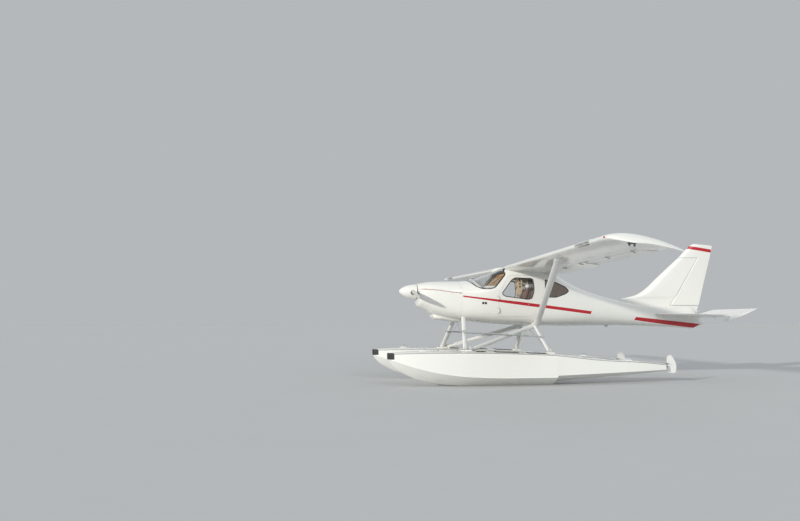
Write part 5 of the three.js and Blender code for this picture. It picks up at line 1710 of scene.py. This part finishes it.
def cushion(name, size, seams):
    """A pad of a length, width and depth in millimetres, flat below, crowned above, drawn in at seams."""
    length, width, depth = size
    pad = set_on(brick(length * 0.96, width * 0.96, depth * 0.84, 20),
        Matrix.Translation((0, 0, -depth * 0.42 * MM)))
    pad.name = name
    depth *= MM
    voxels = pad.modifiers.new("voxels", "REMESH")
    voxels.mode, voxels.voxel_size = "VOXEL", VOXEL
    bake(pad)
    before = np.array([v.co for v in pad.data.vertices])
    held = pad.vertex_groups.new(name="held")
    held.add([int(i) for i in np.flatnonzero(before[:, 2] < -depth * 0.36)], 1.0, "REPLACE")
    swell = pad.modifiers.new("swell", "CLOTH")
    swell.settings.quality = 4
    swell.settings.use_pressure = True
    swell.settings.uniform_pressure_force = 4
    swell.settings.vertex_group_mass = "held"
    swell.settings.effector_weights.gravity = 0
    swell.point_cache.frame_start, swell.point_cache.frame_end = 1, CLOTH_FRAMES
    for step in range(1, CLOTH_FRAMES + 1):
        scene.frame_set(step)
    bake(pad)
    pad.vertex_groups.clear()
    scene.frame_set(1)
    after = np.array([v.co for v in pad.data.vertices])
    move = after - before
    far = np.linalg.norm(move, axis=1, keepdims=True)
    after = before + move * np.minimum(1, SWELL_LIMIT * MM / np.maximum(far, 1e-9))
    pad.data.vertices.foreach_set("co", after.ravel())
    finer = pad.modifiers.new("finer", "SUBSURF")
    finer.levels = 1
    bake(pad)
    for v in pad.data.vertices:
        if v.normal.z > 0.3:
            near = min(abs(v.co[axis] - at * MM) for axis, at in seams) / MM
            v.co.z -= SEAM_DEPTH * MM * exp(-(near / SEAM_WIDTH) ** 2)
        elif abs(v.normal.z) < 0.6:
            drawn = exp(-((v.co.z - depth * 0.18) / (4 * MM)) ** 2)
            v.co -= v.normal * drawn * 3 * MM
    pad.data.update()
    return pad


def copy_of(piece, name, matrix):
    made = piece.copy()
    made.data = piece.data.copy()
    made.name = made.data.name = name
    scene.collection.objects.link(made)
    return set_on(made, matrix)


SEAT_Y = (40, 478)
SEAT_MIDDLE = sum(SEAT_Y) / 2
squab = cushion("squab", (440, 428, 72), [(1, -118), (1, 118), (0, -80), (0, 80)])
backrest = cushion("backrest", (478, 428, 92), [(1, -118), (1, 118), (0, -150), (0, -50), (0, 50),
    (0, 150)])
upwards, facing = Vector((116, 0, 486)).normalized(), Vector((-486, 0, 116)).normalized()
leaning = Matrix((upwards, Vector((0, 1, 0)), facing)).transposed().to_4x4()
print("cushion faces", len(squab.data.polygons), len(backrest.data.polygons))

# %% [markdown]
# The shell, its box and the rails on the floor are one rigid piece. Lap and shoulder belts are flat
# webbing, laid along the cushions by a strip whose width always lies across its path.

# %% Seats and belts
def strap(points, across, width, thick):
    """A flat strip along points in millimetres, with its width in one direction."""
    path = [Vector(p) for p in points]
    for _ in range(3):
        eased = [path[0]]
        for a, b in zip(path, path[1:]):
            eased += [a.lerp(b, 0.25), a.lerp(b, 0.75)]
        path = eased + [path[-1]]
    across = Vector(across).normalized()
    rings = []
    for i, point in enumerate(path):
        run = (path[min(i + 1, len(path) - 1)] - path[max(i - 1, 0)]).normalized()
        up = across.cross(run).normalized()
        rings.append([tuple(point + across * w * width / 2 + up * t * thick / 2) for w, t in CORNERS])
    return loft(rings)


SEAT_SHELL = [(2156, 1343), (2664, 1343), (2700, 1398), (2782, 1892), (2766, 1896), (2684, 1406),
    (2652, 1357), (2158, 1357)]
for word, side in SIDES.items():
    y0, y1 = sorted(side * v for v in SEAT_Y)
    middle = side * SEAT_MIDDLE
    shell = bevel(prism(SEAT_SHELL, y0 + 2, y1 - 2), 5, 3)
    seat_box = cut(box(2240, 2600, middle - 107, middle + 107, 1207, 1346, 6),
        *[rod((x, middle - 200, 1276), (x, middle + 200, 1276), 38) for x in (2320, 2420, 2520)])
    rails = [box(2176, 2690, middle + dy - 9, middle + dy + 9, FLOOR_TOP, 1212, 2) for dy in (-84, 84)]
    dress(f"seat_shell_{word}", join(shell, seat_box, *rails), grey_paint, stands_for=(f"seat_{word}",))
    low = copy_of(squab, f"seat_squab_{word}", Matrix.Translation(place(2380, middle, 1394))
        @ Matrix.Rotation(radians(5.1), 4, "Y"))
    high = copy_of(backrest, f"seat_back_{word}", Matrix.Translation(place(2664, middle, 1644)) @ leaning)
    for pad in (low, high):
        dress(pad.name, pad, seat_cloth, sharp=80, weighted=False)
    belts = []
    for out in (-1, 1):
        belts.append(strap([(2560, middle + out * 224, 1370), (2520, middle + out * 214, 1420),
            (2470, middle + out * 150, 1442), (2452, middle + out * 28, 1446)], (1, 0, 0.1), 46, 2.4))
        belts.append(strap([(2780, middle + out * 84, 1850), (2752, middle + out * 84, 1912),
            (2700, middle + out * 82, 1900), (2650, middle + out * 76, 1790),
            (2590, middle + out * 60, 1560), (2540, middle + out * 40, 1456),
            (2470, middle + out * 20, 1448)], (0, 1, 0), 44, 2.4))
    dress(f"seat_belts_{word}", belts, webbing, weighted=False)
    buckle = box(2422, 2490, middle - 30, middle + 30, 1443, 1458, 4, 3)
    dress(f"seat_buckle_{word}", buckle, steel)
bpy.data.objects.remove(squab)
bpy.data.objects.remove(backrest)
print("seats done")

# %% [markdown]
# Two light straps hang from the cage's rail at the left door: a broad one that stops the door, and a
# narrower loop that runs forward to its foot. Behind them hangs a headset on a hook. All of it is small and
# half hidden, but it is what the eye finds first through that window.

# %% Door straps and headset
door_strap = strap([(2292, -436, 2138), (2300, -470, 2060), (2306, -484, 1930), (2310, -484, 1712)],
    (1, 0, 0), 44, 3)
dress("door_strap", door_strap, strap_cloth)
loop = strap([(2376, -434, 2138), (2380, -474, 2050), (2384, -480, 1900), (2378, -482, 1745),
    (2290, -482, 1668), (2212, -478, 1606)], (1, 0, 0.35), 30, 3)
dress("door_strap_loop", loop, faded_strap)
links = [box(2284, 2336, -487, -481, 1690, 1722, 2), box(2196, 2228, -482, -474, 1588, 1614, 2)]
dress("door_strap_ends", links, steel)

HEADSET_AT, HEADSET_TURN, BAND = (2530, -404, 1902), radians(68), 82


def beside(out, ahead, up):
    """A point of the headset: out along its band, ahead of it and above its middle."""
    c, s = cos(HEADSET_TURN), sin(HEADSET_TURN)
    x, y, z = HEADSET_AT
    return (x + out * c - ahead * s, y + out * s + ahead * c, z + up)


shells = [tube([beside(BAND * cos(t), 0, BAND * sin(t)) for t in np.linspace(0, pi, 19)], 5.5, sides=14),
    tube([(HEADSET_AT[0], -430, 2140), (HEADSET_AT[0], -426, 2060), beside(0, 0, BAND)], 2.5, sides=10)]
pads = [tube([beside(40 * cos(t), 0, (BAND + 7) * sin(t) ** 0.2) for t in np.linspace(0.9, 2.24, 9)], 9)]
for sign in (-1, 1):
    shells.append(spindle(beside(sign * 66, 0, -14), beside(sign * 98, 0, -14),
        [(0, 34), (0.25, 38), (0.7, 36), (0.92, 26), (1, 16)], 32))
    pads.append(spindle(beside(sign * 50, 0, -14), beside(sign * 67, 0, -14),
        [(0, 26), (0.2, 35), (0.8, 36), (1, 32)], 32))
boom = tube(bent([beside(-92, 0, -20), beside(-104, 30, -70), beside(-70, 66, -96)], 24), 2.6, sides=10)
microphone = spindle(beside(-76, 60, -92), beside(-52, 84, -110), [(0, 6), (0.2, 9), (0.8, 9), (1, 6)], 18)
dress("headset_shells", shells, dial_white)
dress("headset_pads", [*pads, boom, microphone], black_paint)
print("headset hangs at", HEADSET_AT)

# %% [markdown]
# The sticks stand on one cross shaft and have ribbed rubber grips. Between the seats a small console
# carries the flap lever and the trim wheel. The pedals are pads on bent arms behind the firewall.

# %% Sticks, console and pedals
stick_parts = [rod((1990, -270, 1230), (1990, 270, 1230), 13), box(1960, 2020, -30, 30, FLOOR_TOP, 1232, 4)]
grips = []
for side in (LEFT, RIGHT):
    stick_parts += [tube(bent([(1990, side * 270, 1230), (1998, side * 270, 1340),
        (2020, side * 270, 1524)], 60), 11, sides=18), collar((1990, side * 240, 1230), (0, side, 0), 52,
        18)]
    ribs = [(0, 14)]
    for share in np.linspace(0.06, 0.86, 9):
        ribs += [(share, 16.5), (share + 0.03, 18.5), (share + 0.06, 16.5)]
    grips.append(spindle((2019, side * 270, 1515), (2026, side * 270, 1640),
        [*ribs, (0.96, 19), (0.99, 15), (1, 8)]))
    grips.append(spindle((2012, side * 270, 1622), (2004, side * 270, 1622), [(0, 5), (0.9, 5), (1, 3)],
        16))
dress("stick_tubes", stick_parts, fitting_paint, ("control_sticks",))
dress("stick_grips", grips, bumper_rubber)

console = [box(2230, 2540, -27, 27, FLOOR_TOP, 1330, 8, 3), cut(spindle((2330, -8, 1330), (2330, 8, 1330),
    [(0, 58), (0.2, 60), (0.8, 60), (1, 58)], 48), rod((2330, -20, 1330), (2330, 20, 1330), 40))]
dress("console", console, grey_paint)
levers = [tube([(2450, 0, 1322), (2424, 0, 1436)], 7, sides=16),
    spindle((2426, 0, 1426), (2414, 0, 1486), [(0, 9), (0.2, 14), (0.8, 14), (1, 7)], 24)]
for side in (LEFT, RIGHT):
    for out in (190, 340):
        y = side * out
        levers.append(tube(bent([(1520, y, 1206), (1500, y, 1290), (1420, y, 1370)], 40), 8, sides=16))
        levers.append(box(1396, 1410, y - 42, y + 42, 1330, 1414, 4, 3))
dress("levers_and_pedals", levers, dark_steel)
print("controls done")

# %% [markdown]
# The small things on the shell: a louvre in each vent, a handle and a lock on each door, the strips that
# close the gap between wing and hull, a blade aerial under the tail cone and a white lamp on its end. A
# piece made about its own origin is laid on a surface by the way that surface faces.

# %% Small parts of the fuselage and doors
def laid(piece, at, normal, along=(1, 0, 0)):
    """Sets a piece made about the origin on a surface, its Z along the normal and its X roughly along."""
    up = normal.cross(Vector(along)).normalized()
    axes = Matrix((up.cross(normal), up, normal)).transposed().to_4x4()
    return set_on(piece, Matrix.Translation(at) @ axes)


for word, side in SIDES.items():
    body = f"door_{word}"
    # Each vent is a shallow recess; the black sheet at its back is painted shade, standing in for the dark
    # inside of an open vent.
    vent = meet(hull_skin(1450, 1750, 8, 12), side_tool(VENT, side))
    dress(f"vent_shade_sheet_{word}", vent, black_paint)
    slat = meet(hull_skin(1450, 1750, 1.5, 9), side_tool(VENT, side),
        side_tool([(1600, 1480), (1609, 1480), (1609, 1640), (1600, 1640)], side))
    dress(f"vent_slat_{word}", slat, fuselage_paint)
    at, normal = on_hull(2560, 1530, side)
    dress(f"door_handle_{word}", laid(brick(92, 24, 7, 3), at, normal), fuselage_paint, body=body)
    lock = on_hull(2488, 1530, side)
    fasteners(f"door_lock_{word}", [lock], steel, body, radius=9, proud=1.6)
    root = loft([wing_ring(side * y, 5) for y in (420, 640)])
    meet(root, hull(1900, 3300, -7, 60))
    cut(root, hull(1900, 3300, 3, 60))
    dress(f"wing_root_strip_{word}", root, wing_paint)

aerial = prism([(4316, 1116), (4334, 1074), (4374, 1073), (4396, 1114)], -4, 4)
foot = box(4300, 4410, -22, 22, 1105, 1113, 2)
dress("belly_aerial", join(bevel(aerial, 2.5), foot), fitting_paint)
dress("tail_lamp_base", spindle((6508, 0, 1147), (6524, 0, 1147), [(0, 15), (0.6, 17), (1, 16)]),
    fitting_paint)
dress("tail_lamp_lens", spindle((6521, 0, 1147), (6536, 0, 1147),
    [(0, 14), (0.4, 13), (0.75, 9.5), (0.94, 4), (1, 0.5)]), white_lens)
print("small parts of the fuselage done")

# %% [markdown]
# On the wing: filler caps on top, inspection covers below, brackets that carry the flaps and ailerons on
# bolts under the gap, tie-down rings by the struts, a landing lamp behind a clear piece of leading edge,
# and a red lamp on the left tip and a green one on the right, as every aeroplane has.

# %% Small parts of the wings
def bracket(y):
    """A plate under the gap, from the wing to just below the hinge line."""
    side_view = [(0.655, 0.002), (0.665, -0.010), (0.700, -0.020), (0.728, -0.027), (0.740, -0.026),
        (0.744, -0.018), (0.733, -0.010), (0.700, -0.001)]
    points = [(c, mean_line(c) - half_thickness(c) + h) for c, h in side_view]
    sheet = loft([[wing_point(y + d, c, h) for c, h in points] for d in (-2.5, 2.5)])
    x, _, z = wing_point(y, 0.736, mean_line(0.736) - half_thickness(0.736) - 0.018)
    return [sheet, spindle((x, y - 9, z), (x, y + 9, z), pin_profile(5, 6.5), 16)]


def ring_bolt(at, normal, radius=15, wire=3.6):
    """A ring standing on a surface."""
    circle = [(at + normal * (radius + 5) * MM + Vector((cos(t), 0, 0)) * radius * MM
        + normal * sin(t) * radius * MM) for t in turns(24)]
    points = [(p.x / MM + ORIGIN_STATION, p.y / MM, p.z / MM) for p in circle]
    return tube(points, wire, sides=10, closed=True)


for word, side in SIDES.items():
    brackets = []
    for y in (900, 1680, 2440, 2680, 3520, 4400):
        brackets += bracket(side * y)
    dress(f"surface_brackets_{word}", brackets, fitting_paint)
    caps = [wing_surface(side * 1150, 0.3, True)]
    fasteners(f"fuel_cap_{word}", caps, steel, radius=42, proud=2.4, slot=False, sides=48)
    at, normal = wing_surface(side * 1150, 0.3, True, 2.6)
    dress(f"fuel_cap_lever_{word}", laid(brick(52, 12, 3, 1.2), at, normal), dark_steel)
    spots = [wing_surface(side * y, 0.52, False) for y in (980, 1650, 2300, 3300, 4000, 4760)]
    fasteners(f"inspection_covers_{word}", spots, wing_paint, radius=52, proud=1.4, slot=False, sides=48)
    screws = []
    for at, normal in spots:
        turn = oriented(normal)
        screws += [(at + normal * 1.4 * MM + turn @ Vector((cos(t), sin(t), 0)) * 42 * MM, normal)
            for t in turns(6) + 0.4]
    screws += [wing_surface(side * (WING["tip_joint"] - 14), c, up) for up in (True, False)
        for c in np.linspace(0.05, 0.93, 14)]
    fasteners(f"wing_screws_{word}", screws, steel, radius=3.6, proud=0.6, sides=10)
    at, normal = wing_surface(side * 3080, 0.16, False)
    dress(f"wing_tie_ring_{word}", ring_bolt(at, normal), steel)

    cover = loft([wing_ring(side * y, grow) for y, grow in ((LAMP_FROM, 1.5), (LAMP_FROM + 40, 7),
        (LAMP_TO - 40, 7), (LAMP_TO, 1.5))])
    meet(cover, block(1950, LAMP_DEEP - 1, *span(side, LAMP_FROM, LAMP_TO), 2200, 2450))
    cut(cover, loft([wing_ring(side * y, -1.0) for y in (LAMP_FROM - 50, LAMP_TO + 50)]))
    dress(f"landing_lamp_cover_{word}", cover, lamp_glass)
    bowls, discs = [], []
    for y in (LAMP_FROM + 165, LAMP_TO - 165):
        x, _, z = wing_point(side * y, 0.035, mean_line(0.035))
        bowls.append(spindle((LAMP_DEEP + 4, side * y, z), (2066, side * y, z),
            [(0, 9), (0.5, 20), (1, 24)], 32))
        discs.append(spindle((2065, side * y, z), (2059, side * y, z), [(0, 23), (0.6, 21), (1, 12)], 32))
    dress(f"landing_lamps_{word}", bowls, fitting_paint)
    dress(f"landing_lamp_lenses_{word}", discs, white_lens)
    x, _, z = wing_point(side * 5095, 0.01, mean_line(0.01))
    base = spindle((x + 12, side * 5066, z + 4), (x + 12, side * 5132, z + 2),
        [(0, 4), (0.1, 11), (0.5, 15), (0.9, 11), (1, 4)], 24)
    dress(f"tip_lamp_base_{word}", base, fitting_paint)
    glow = spindle((x - 2, side * 5072, z + 4), (x + 2, side * 5126, z + 2),
        [(0, 0.5), (0.06, 6), (0.25, 12), (0.5, 14), (0.75, 12), (0.94, 6), (1, 0.5)], 28)
    dress(f"tip_lamp_lens_{word}", glow, red_lens if side == LEFT else green_lens)
    x0, _, z0 = wing_point(side * 5215, 0.33, mean_line(0.33) - half_thickness(0.33))
    fitting = [box(x0 - 62, x0 + 62, *span(side, 5200, 5222), z0 - 18, z0 + 6, 3),
        box(x0 - 50, x0 - 24, *span(side, 5204, 5218), z0 - 44, z0 - 14, 3),
        box(x0 + 24, x0 + 50, *span(side, 5204, 5218), z0 - 52, z0 - 14, 3)]
    dress(f"tip_bracket_{word}", fitting, dark_steel)
print("small parts of the wings done")

# %% [markdown]
# On the tail: a trim tab let into the left elevator with its push rod, and the brackets of the elevator
# with a bolt through each. The tab is the same tapered section as the panel, a hair thicker, between two
# cuts.

# %% Small parts of the tail
def tab_point(along, thick, y):
    lift = ELEVATOR_HALF["root"] * max(np.interp(along / TAIL["chord"], [0, 1], [1, 0.08]), 0.05)
    return elevator_point(y, along, thick * (lift * 0.93 + 1.2))


tab = loft([[tab_point(along, sign, y) for along, sign in ((292, 1), (380, 1), (380, -1), (292, -1))]
    for y in (-760, -300)])
dress("trim_tab", bevel(tab, 1), wing_paint, body="elevator")
arm = [tube([elevator_point(-520, 250, -26), elevator_point(-520, 320, -30)], 3, sides=12),
    box(*sorted((elevator_point(-520, 316, 0)[0], elevator_point(-520, 336, 0)[0])), -524, -516,
    elevator_point(-520, 320, 0)[2] - 34, elevator_point(-520, 320, 0)[2] - 2, 1.5)]
dress("trim_tab_rod", arm, steel, body="elevator")
hangers = []
for side in (LEFT, RIGHT):
    for y in (330, 900, 1430):
        x, _, z = tail_point(side * y, 0, 0)
        hangers.append(bevel(prism([(x - 52, z - 22), (x - 18, z - 39), (x - 5, z - 38), (x - 4, z - 31),
            (x - 18, z - 28), (x - 40, z - 14)], side * y - 3, side * y + 3), 1))
        hangers.append(spindle((x - 10, side * y - 9, z - 34.5), (x - 10, side * y + 9, z - 34.5),
            pin_profile(3.5, 5), 14))
dress("elevator_brackets", hangers, fitting_paint)
tail_screws = []
for side in (LEFT, RIGHT):
    for x in np.linspace(5420, 6180, 9):
        tail_screws.append(on_hull(float(x), 1392, side))
fasteners("tail_fairing_screws", tail_screws, steel, radius=3.6, proud=0.6, sides=10)
print("small parts of the tail done")

# %% [markdown]
# Every strut ends in a fork of two plates and a bolt, on a base bolted to the float's deck, and its other
# end goes into the hull through a cuff. The wires that stiffen the trusses cross from each top to the far
# float, with a turnbuckle near the foot. They are taut, so they are straight.

# %% Strut fittings and wires
def fork(x, y, z, thick, long=38):
    """Two plates with a bolt through them, standing on a pad."""
    made = []
    for sign in (-1, 1):
        near, far = sorted((y + sign * (thick / 2 + 2), y + sign * (thick / 2 + 8)))
        plate = prism(rounded([(x - long, z), (x + long, z), (x + long * 0.5, z + 50),
            (x - long * 0.5, z + 50)], 16), near, far)
        made.append(bevel(plate, 1.5))
    bolt = thick / 2 + 15
    made.append(spindle((x, y - bolt, z + 30), (x, y + bolt, z + 30),
        [(0, 9), (0.10, 10), (0.11, 6), (0.89, 6), (0.90, 10), (1, 9)], 6))
    return made


def wire(a, b):
    """A taut wire with a turnbuckle near its lower end and an eye at each end."""
    a, b = Vector(a), Vector(b)
    axis = (b - a).normalized()
    parts = [spindle(a, b, [(0, 3.2), (1, 3.2)], 12)]
    low = a + axis * 90
    parts.append(spindle(low, low + axis * 130, [(0, 4), (0.12, 7.5), (0.3, 8), (0.7, 8), (0.88, 7.5),
        (1, 4)], 18))
    for end, sign in ((a, 1), (b, -1)):
        parts.append(spindle(end - axis * sign * 6, end + axis * sign * 44,
            [(0, 8), (0.3, 10), (0.55, 8), (0.7, 5), (1, 4.5)], 18))
    return parts


print("fittings ready")

# %% [markdown]
# The same fittings go on both sides. Each cuff is the strut's own section grown in steps, so that it always
# lies tight round its strut, and a band of tape marks where the step bar meets the front one.

# %% Fittings in place
forks, bases, wires, base_bolts = [], [], [], []
for word, side in SIDES.items():
    for part, (foot, top, chord, thick) in TRUSS.items():
        pad_top = PADS[1][4] if part == "rear" else PADS[0][4]
        x, y = foot[0] + (6 if part == "diagonal" else 0), side * foot[1]
        forks += fork(x, y, pad_top + 6, thick)
        foot, top = mirrored(foot, side), mirrored(top, side)
        share = {"front": 0.965, "rear": 0.845, "diagonal": 0.955}[part]
        steps = [(share - 0.045, 0.6), (share - 0.03, 4), (share, 7), (1, 10)]
        sleeve = strut(foot, top, chord, thick, steps)
        into_hull(sleeve, part)
        dress(f"truss_cuff_{part}_{word}", sleeve, strut_paint)
    for x, out, long, wide, top in PADS[:2]:
        y = side * FLOAT_TRACK + side * out
        half_base = long - 12
        bases.append(bevel(slab(x - half_base, x + half_base, y - wide + 5, y + wide - 5, top - 1, top + 6,
            10), 1.5))
        base_bolts += [(place(x + dx, y + dy, top + 6), UPWARDS) for dx in (-half_base + 12, half_base - 12)
            for dy in (-wide + 15, wide - 15)]
    wires += wire((1120, side * 1010, 700), (1226, -side * 345, 1296))
    wires += wire((2730, side * 1010, 640), (2640, -side * 345, 1196))
    foot, top = mirrored(LIFT["foot"], side), mirrored(LIFT["top"], side)
    boot = strut(foot, top, LIFT["chord"], LIFT["thick"], [(0.0, 22), (0.03, 20), (0.055, 14), (0.075, 6),
        (0.09, 0.8)])
    cut(boot, hull(2300, 3100, 6, 60))
    dress(f"lift_strut_boot_{word}", boot, strut_paint)
    cap = strut(foot, top, LIFT["chord"], LIFT["thick"], [(0.93, 0.8), (0.945, 7), (0.97, 12), (0.99, 15),
        (1.0, 16)])
    cut(cap, loft([wing_ring(side * y, -3) for y in (2500, 3300)]))
    dress(f"lift_strut_cap_{word}", cap, strut_paint)
    foot, top, chord, thick = TRUSS["front"]
    share = (STEP_BAR["front"][1] - foot[2]) / (top[2] - foot[2])
    wrap = strut(mirrored(foot, side), mirrored(top, side), chord, thick,
        [(share - 0.027, 0.4), (share - 0.022, 2.4), (share + 0.022, 2.4), (share + 0.027, 0.4)])
    dress(f"truss_wrap_{word}", wrap, wrap_paint)
dress("strut_forks", forks, fitting_paint)
dress("strut_bases", bases, anodised)
fasteners("strut_base_bolts", base_bolts, steel, radius=8, proud=6, slot=False, sides=6)
dress("bracing_wires", wires, steel)
print("strut fittings done")

# %% [markdown]
# Two spreader bars keep the floats apart, and a step bar runs along each side from strut to strut, with
# grip sleeves where a foot goes. They stand for plain bars of the frame, so the ends get flanges and plugs.

# %% Spreaders and step bars
reach = FLOAT_TRACK - SPREADER_SEAT
for word, (x, z) in SPREADERS.items():
    bar = [spindle((x, -reach, z), (x, reach, z), [(0, 25), (1, 25)], 36)]
    for side in (LEFT, RIGHT):
        bar.append(spindle((x, side * (reach - 26), z), (x, side * (reach + 2), z),
            [(0, 26), (0.1, 33), (0.6, 33), (0.62, 44), (1, 44)], 36))
        bar += [spindle((x + 36 * cos(t), side * (reach - 15), z + 36 * sin(t)),
            (x + 36 * cos(t), side * (reach - 6), z + 36 * sin(t)), [(0, 6), (1, 6)], 6)
            for t in turns(6) + 0.5]
    dress(f"spreader_{word}", bar, strut_paint, (f"spreader_bar_{word}",))
for word, side in SIDES.items():
    (x0, z0), (x1, z1) = STEP_BAR["front"], STEP_BAR["rear"]
    y = side * STEP_BAR["out"]
    slope = (z1 - z0) / (x1 - x0)
    a, b = Vector((x0 - 58, y, z0 - 58 * slope)), Vector((x1 + 58, y, z1 + 58 * slope))
    bar = [spindle(a, b, [(0, 7), (0.002, 11), (0.006, 13), (0.994, 13), (0.998, 11), (1, 7)], 28)]
    for x, z in ((x0, z0), (x1, z1)):
        bar.append(spindle((x, side * 684, z), (x, y - side * 8, z),
            [(0, 11), (0.8, 11), (0.84, 15), (1, 15)], 24))
        bar.append(collar((x - 22, y, z - 22 * slope), b - a, 44, 18))
    dress(f"step_bar_{word}_tube", bar, step_paint, (f"step_bar_{word}",))
    grips = [strut(a, b, 27, 27, [(s, 0.3), (s + 0.004, 2.2), (s + 0.196, 2.2), (s + 0.2, 0.3)])
        for s in (0.2, 0.6)]
    dress(f"step_grips_{word}", grips, grip_rubber)
print("bars done")

# %% [markdown]
# The floats carry rubber bumpers on their bows, a rubbing strip along the joint of deck and hull, hatches
# and pump plugs over each compartment, cleats, and a rough walkway. Each water rudder is a blade in two
# yokes with a horn on top, from which cables run forward along the deck.

# %% Deck fittings
DECK_EDGE = 17


def deck_at(station, out, middle):
    """A point on the deck, given across the float."""
    def height(x):
        table = FLOAT_SECTIONS if x < STEP_AT else AFTER_SECTIONS
        edge, edge_half, crown = through(table, [x])[0][4:]
        share = min(abs(out) / (edge_half * DECK_SHARE), 1)
        return edge + (crown - edge) * (1 - share * share)
    z = height(station)
    slope = (height(station + 5) - height(station - 5)) / 10 if abs(station - STEP_AT) > 10 else 0
    normal = Vector((-slope, 0.08 * copysign(min(abs(out) / 150, 1), out), 1)).normalized()
    return place(station, middle + out, z), normal


def hatch(at, normal, radius=74):
    """A screwed deck plate: a rim, a groove and a lid."""
    rim = [(1.0, 0.0), (1.0, 2.5), (0.97, 4.0), (0.86, 4.0), (0.84, 2.0), (0.81, 2.0), (0.79, 4.2),
        (0.2, 4.8)]
    turn = oriented(normal)
    rings = [[at + turn @ Vector((cos(t) * radius * share, sin(t) * radius * share, up)) * MM
        for t in turns(48)] for share, up in rim]
    return skin(rings)


def cleat(x, y, z):
    """A horned cleat on its base."""
    horns = tube(bent([(x - 66, y, z + 40), (x - 40, y, z + 32), (x + 40, y, z + 32), (x + 66, y, z + 40)],
        20), 7, sides=14)
    return [bevel(slab(x - 40, x + 40, y - 15, y + 15, z - 1, z + 6, 8), 1.5), horns,
        spindle((x - 20, y, z + 4), (x - 18, y, z + 32), [(0, 10), (0.5, 7), (1, 8)], 18),
        spindle((x + 20, y, z + 4), (x + 18, y, z + 32), [(0, 10), (0.5, 7), (1, 8)], 18)]


print("deck over the middle of a float", deck_at(1500, 0, 0)[0][:])

# %% [markdown]
# The bumper is the float's own skin grown outwards and cut to a pad. The walkway follows the deck's crown.
# The blade of a water rudder is flat plate with a spine, and its cables run to pulleys on the deck.

# %% Floats fitted out
BUMPER_AHEAD = 16
BLADE = rounded([(5098, 192), (5098, 478), (5132, 528), (5194, 528), (5266, 418), (5296, 330), (5284, 204),
    (5250, 180)], 40)
for word, side in SIDES.items():
    middle = side * FLOAT_TRACK
    stem = float_skin(middle, 16, BUMPER_AHEAD)
    bumper = meet(stem, box(-425, -292, middle - 160, middle + 160, 506, 622, 9, 3))
    cut(bumper, float_skin(middle, 0.5))
    dress(f"bow_bumper_{word}_pad", bumper, bumper_rubber, (f"bow_bumper_{word}",))

    rails = []
    for across_sign in (1, -1):
        path = []
        for table, x0, x1 in ((FLOAT_SECTIONS, -290, 2745), (AFTER_SECTIONS, 2760, 5000)):
            for row in through(table, np.linspace(x0, x1, 46)):
                ring = float_ring(row, 0)
                path.append((row[0], middle + across_sign * ring[DECK_EDGE][1], ring[DECK_EDGE][2]))
        rails.append(tube(path, 4.5, sides=10))
    dress(f"deck_rails_{word}", rails, rail_rubber)

    stations = (430, 800, 1520, 2150, 3150, 3850)
    covers = [hatch(*deck_at(x, 0, middle)) for x in stations]
    dress(f"deck_hatches_{word}", covers, fitting_paint)
    plugs = [deck_at(x + 150, 110, middle) for x in stations]
    fasteners(f"pump_plugs_{word}", plugs, bumper_rubber, radius=17, proud=9, slot=False, sides=24)
    horns = cleat(260, middle, PADS[2][4]) + cleat(4300, middle, PADS[3][4])
    dress(f"deck_cleats_{word}", horns, aluminium)

    walk = []
    for x0, x1 in ((1240, 1440), (1600, 2070), (2230, 2630)):
        rings = []
        for x in np.linspace(x0, x1, 12):
            half = [(out, deck_at(float(x), float(out), middle)[0].z / MM)
                for out in np.linspace(-190, 190, 13)]
            rings.append([(x, middle + y, z + 1.4) for y, z in half]
                + [(x, middle + y, z - 2) for y, z in half[::-1]])
        walk.append(loft(rings))
    dress(f"deck_walkway_{word}", walk, non_skid)

    body = f"water_rudder_{word}"
    post = WATER_RUDDER["post"]
    vane = bevel(prism(BLADE, middle - 4.5, middle + 4.5), 3, 3)
    yokes = []
    for low, high in ((296, 316), (346, 366)):
        yokes.append(box(post, 5118, middle - 11, middle + 11, low + 0.3, high - 0.3, 2))
        yokes.append(spindle((post, middle, low + 0.3), (post, middle, high - 0.3), pin_profile(12, 13)))
    horn = bevel(slab(5092, 5112, middle - 78, middle + 78, 366, 372, 8), 1.2)
    spine = box(5104, 5118, middle - 8, middle + 8, 230, 470, 3)
    dress(f"{body}_blade", [vane, spine], strut_paint, (body,), body=body)
    dress(f"{body}_yokes", [*yokes, horn], anodised, body=body)
    pin = spindle((post, middle, 286), (post, middle, 380), [(0, 11), (0.06, 11), (0.061, 7.6), (0.94, 7.6),
        (0.941, 11), (1, 9)], 20)
    dress(f"water_rudder_pin_{word}", pin, steel)
    cables = []
    for sign in (-1, 1):
        cables.append(tube([(5102, middle + sign * 66, 369), (4850, middle + sign * 60, 396),
            (4560, middle + sign * 56, 424)], 2.2, sides=10))
        cables.append(spindle((4540, middle + sign * 56, 398), (4540, middle + sign * 56, 432),
            [(0, 13), (0.55, 13), (0.6, 8), (0.9, 8), (1, 5)], 20))
    dress(f"water_rudder_cables_{word}", cables, steel)
print("floats fitted out")
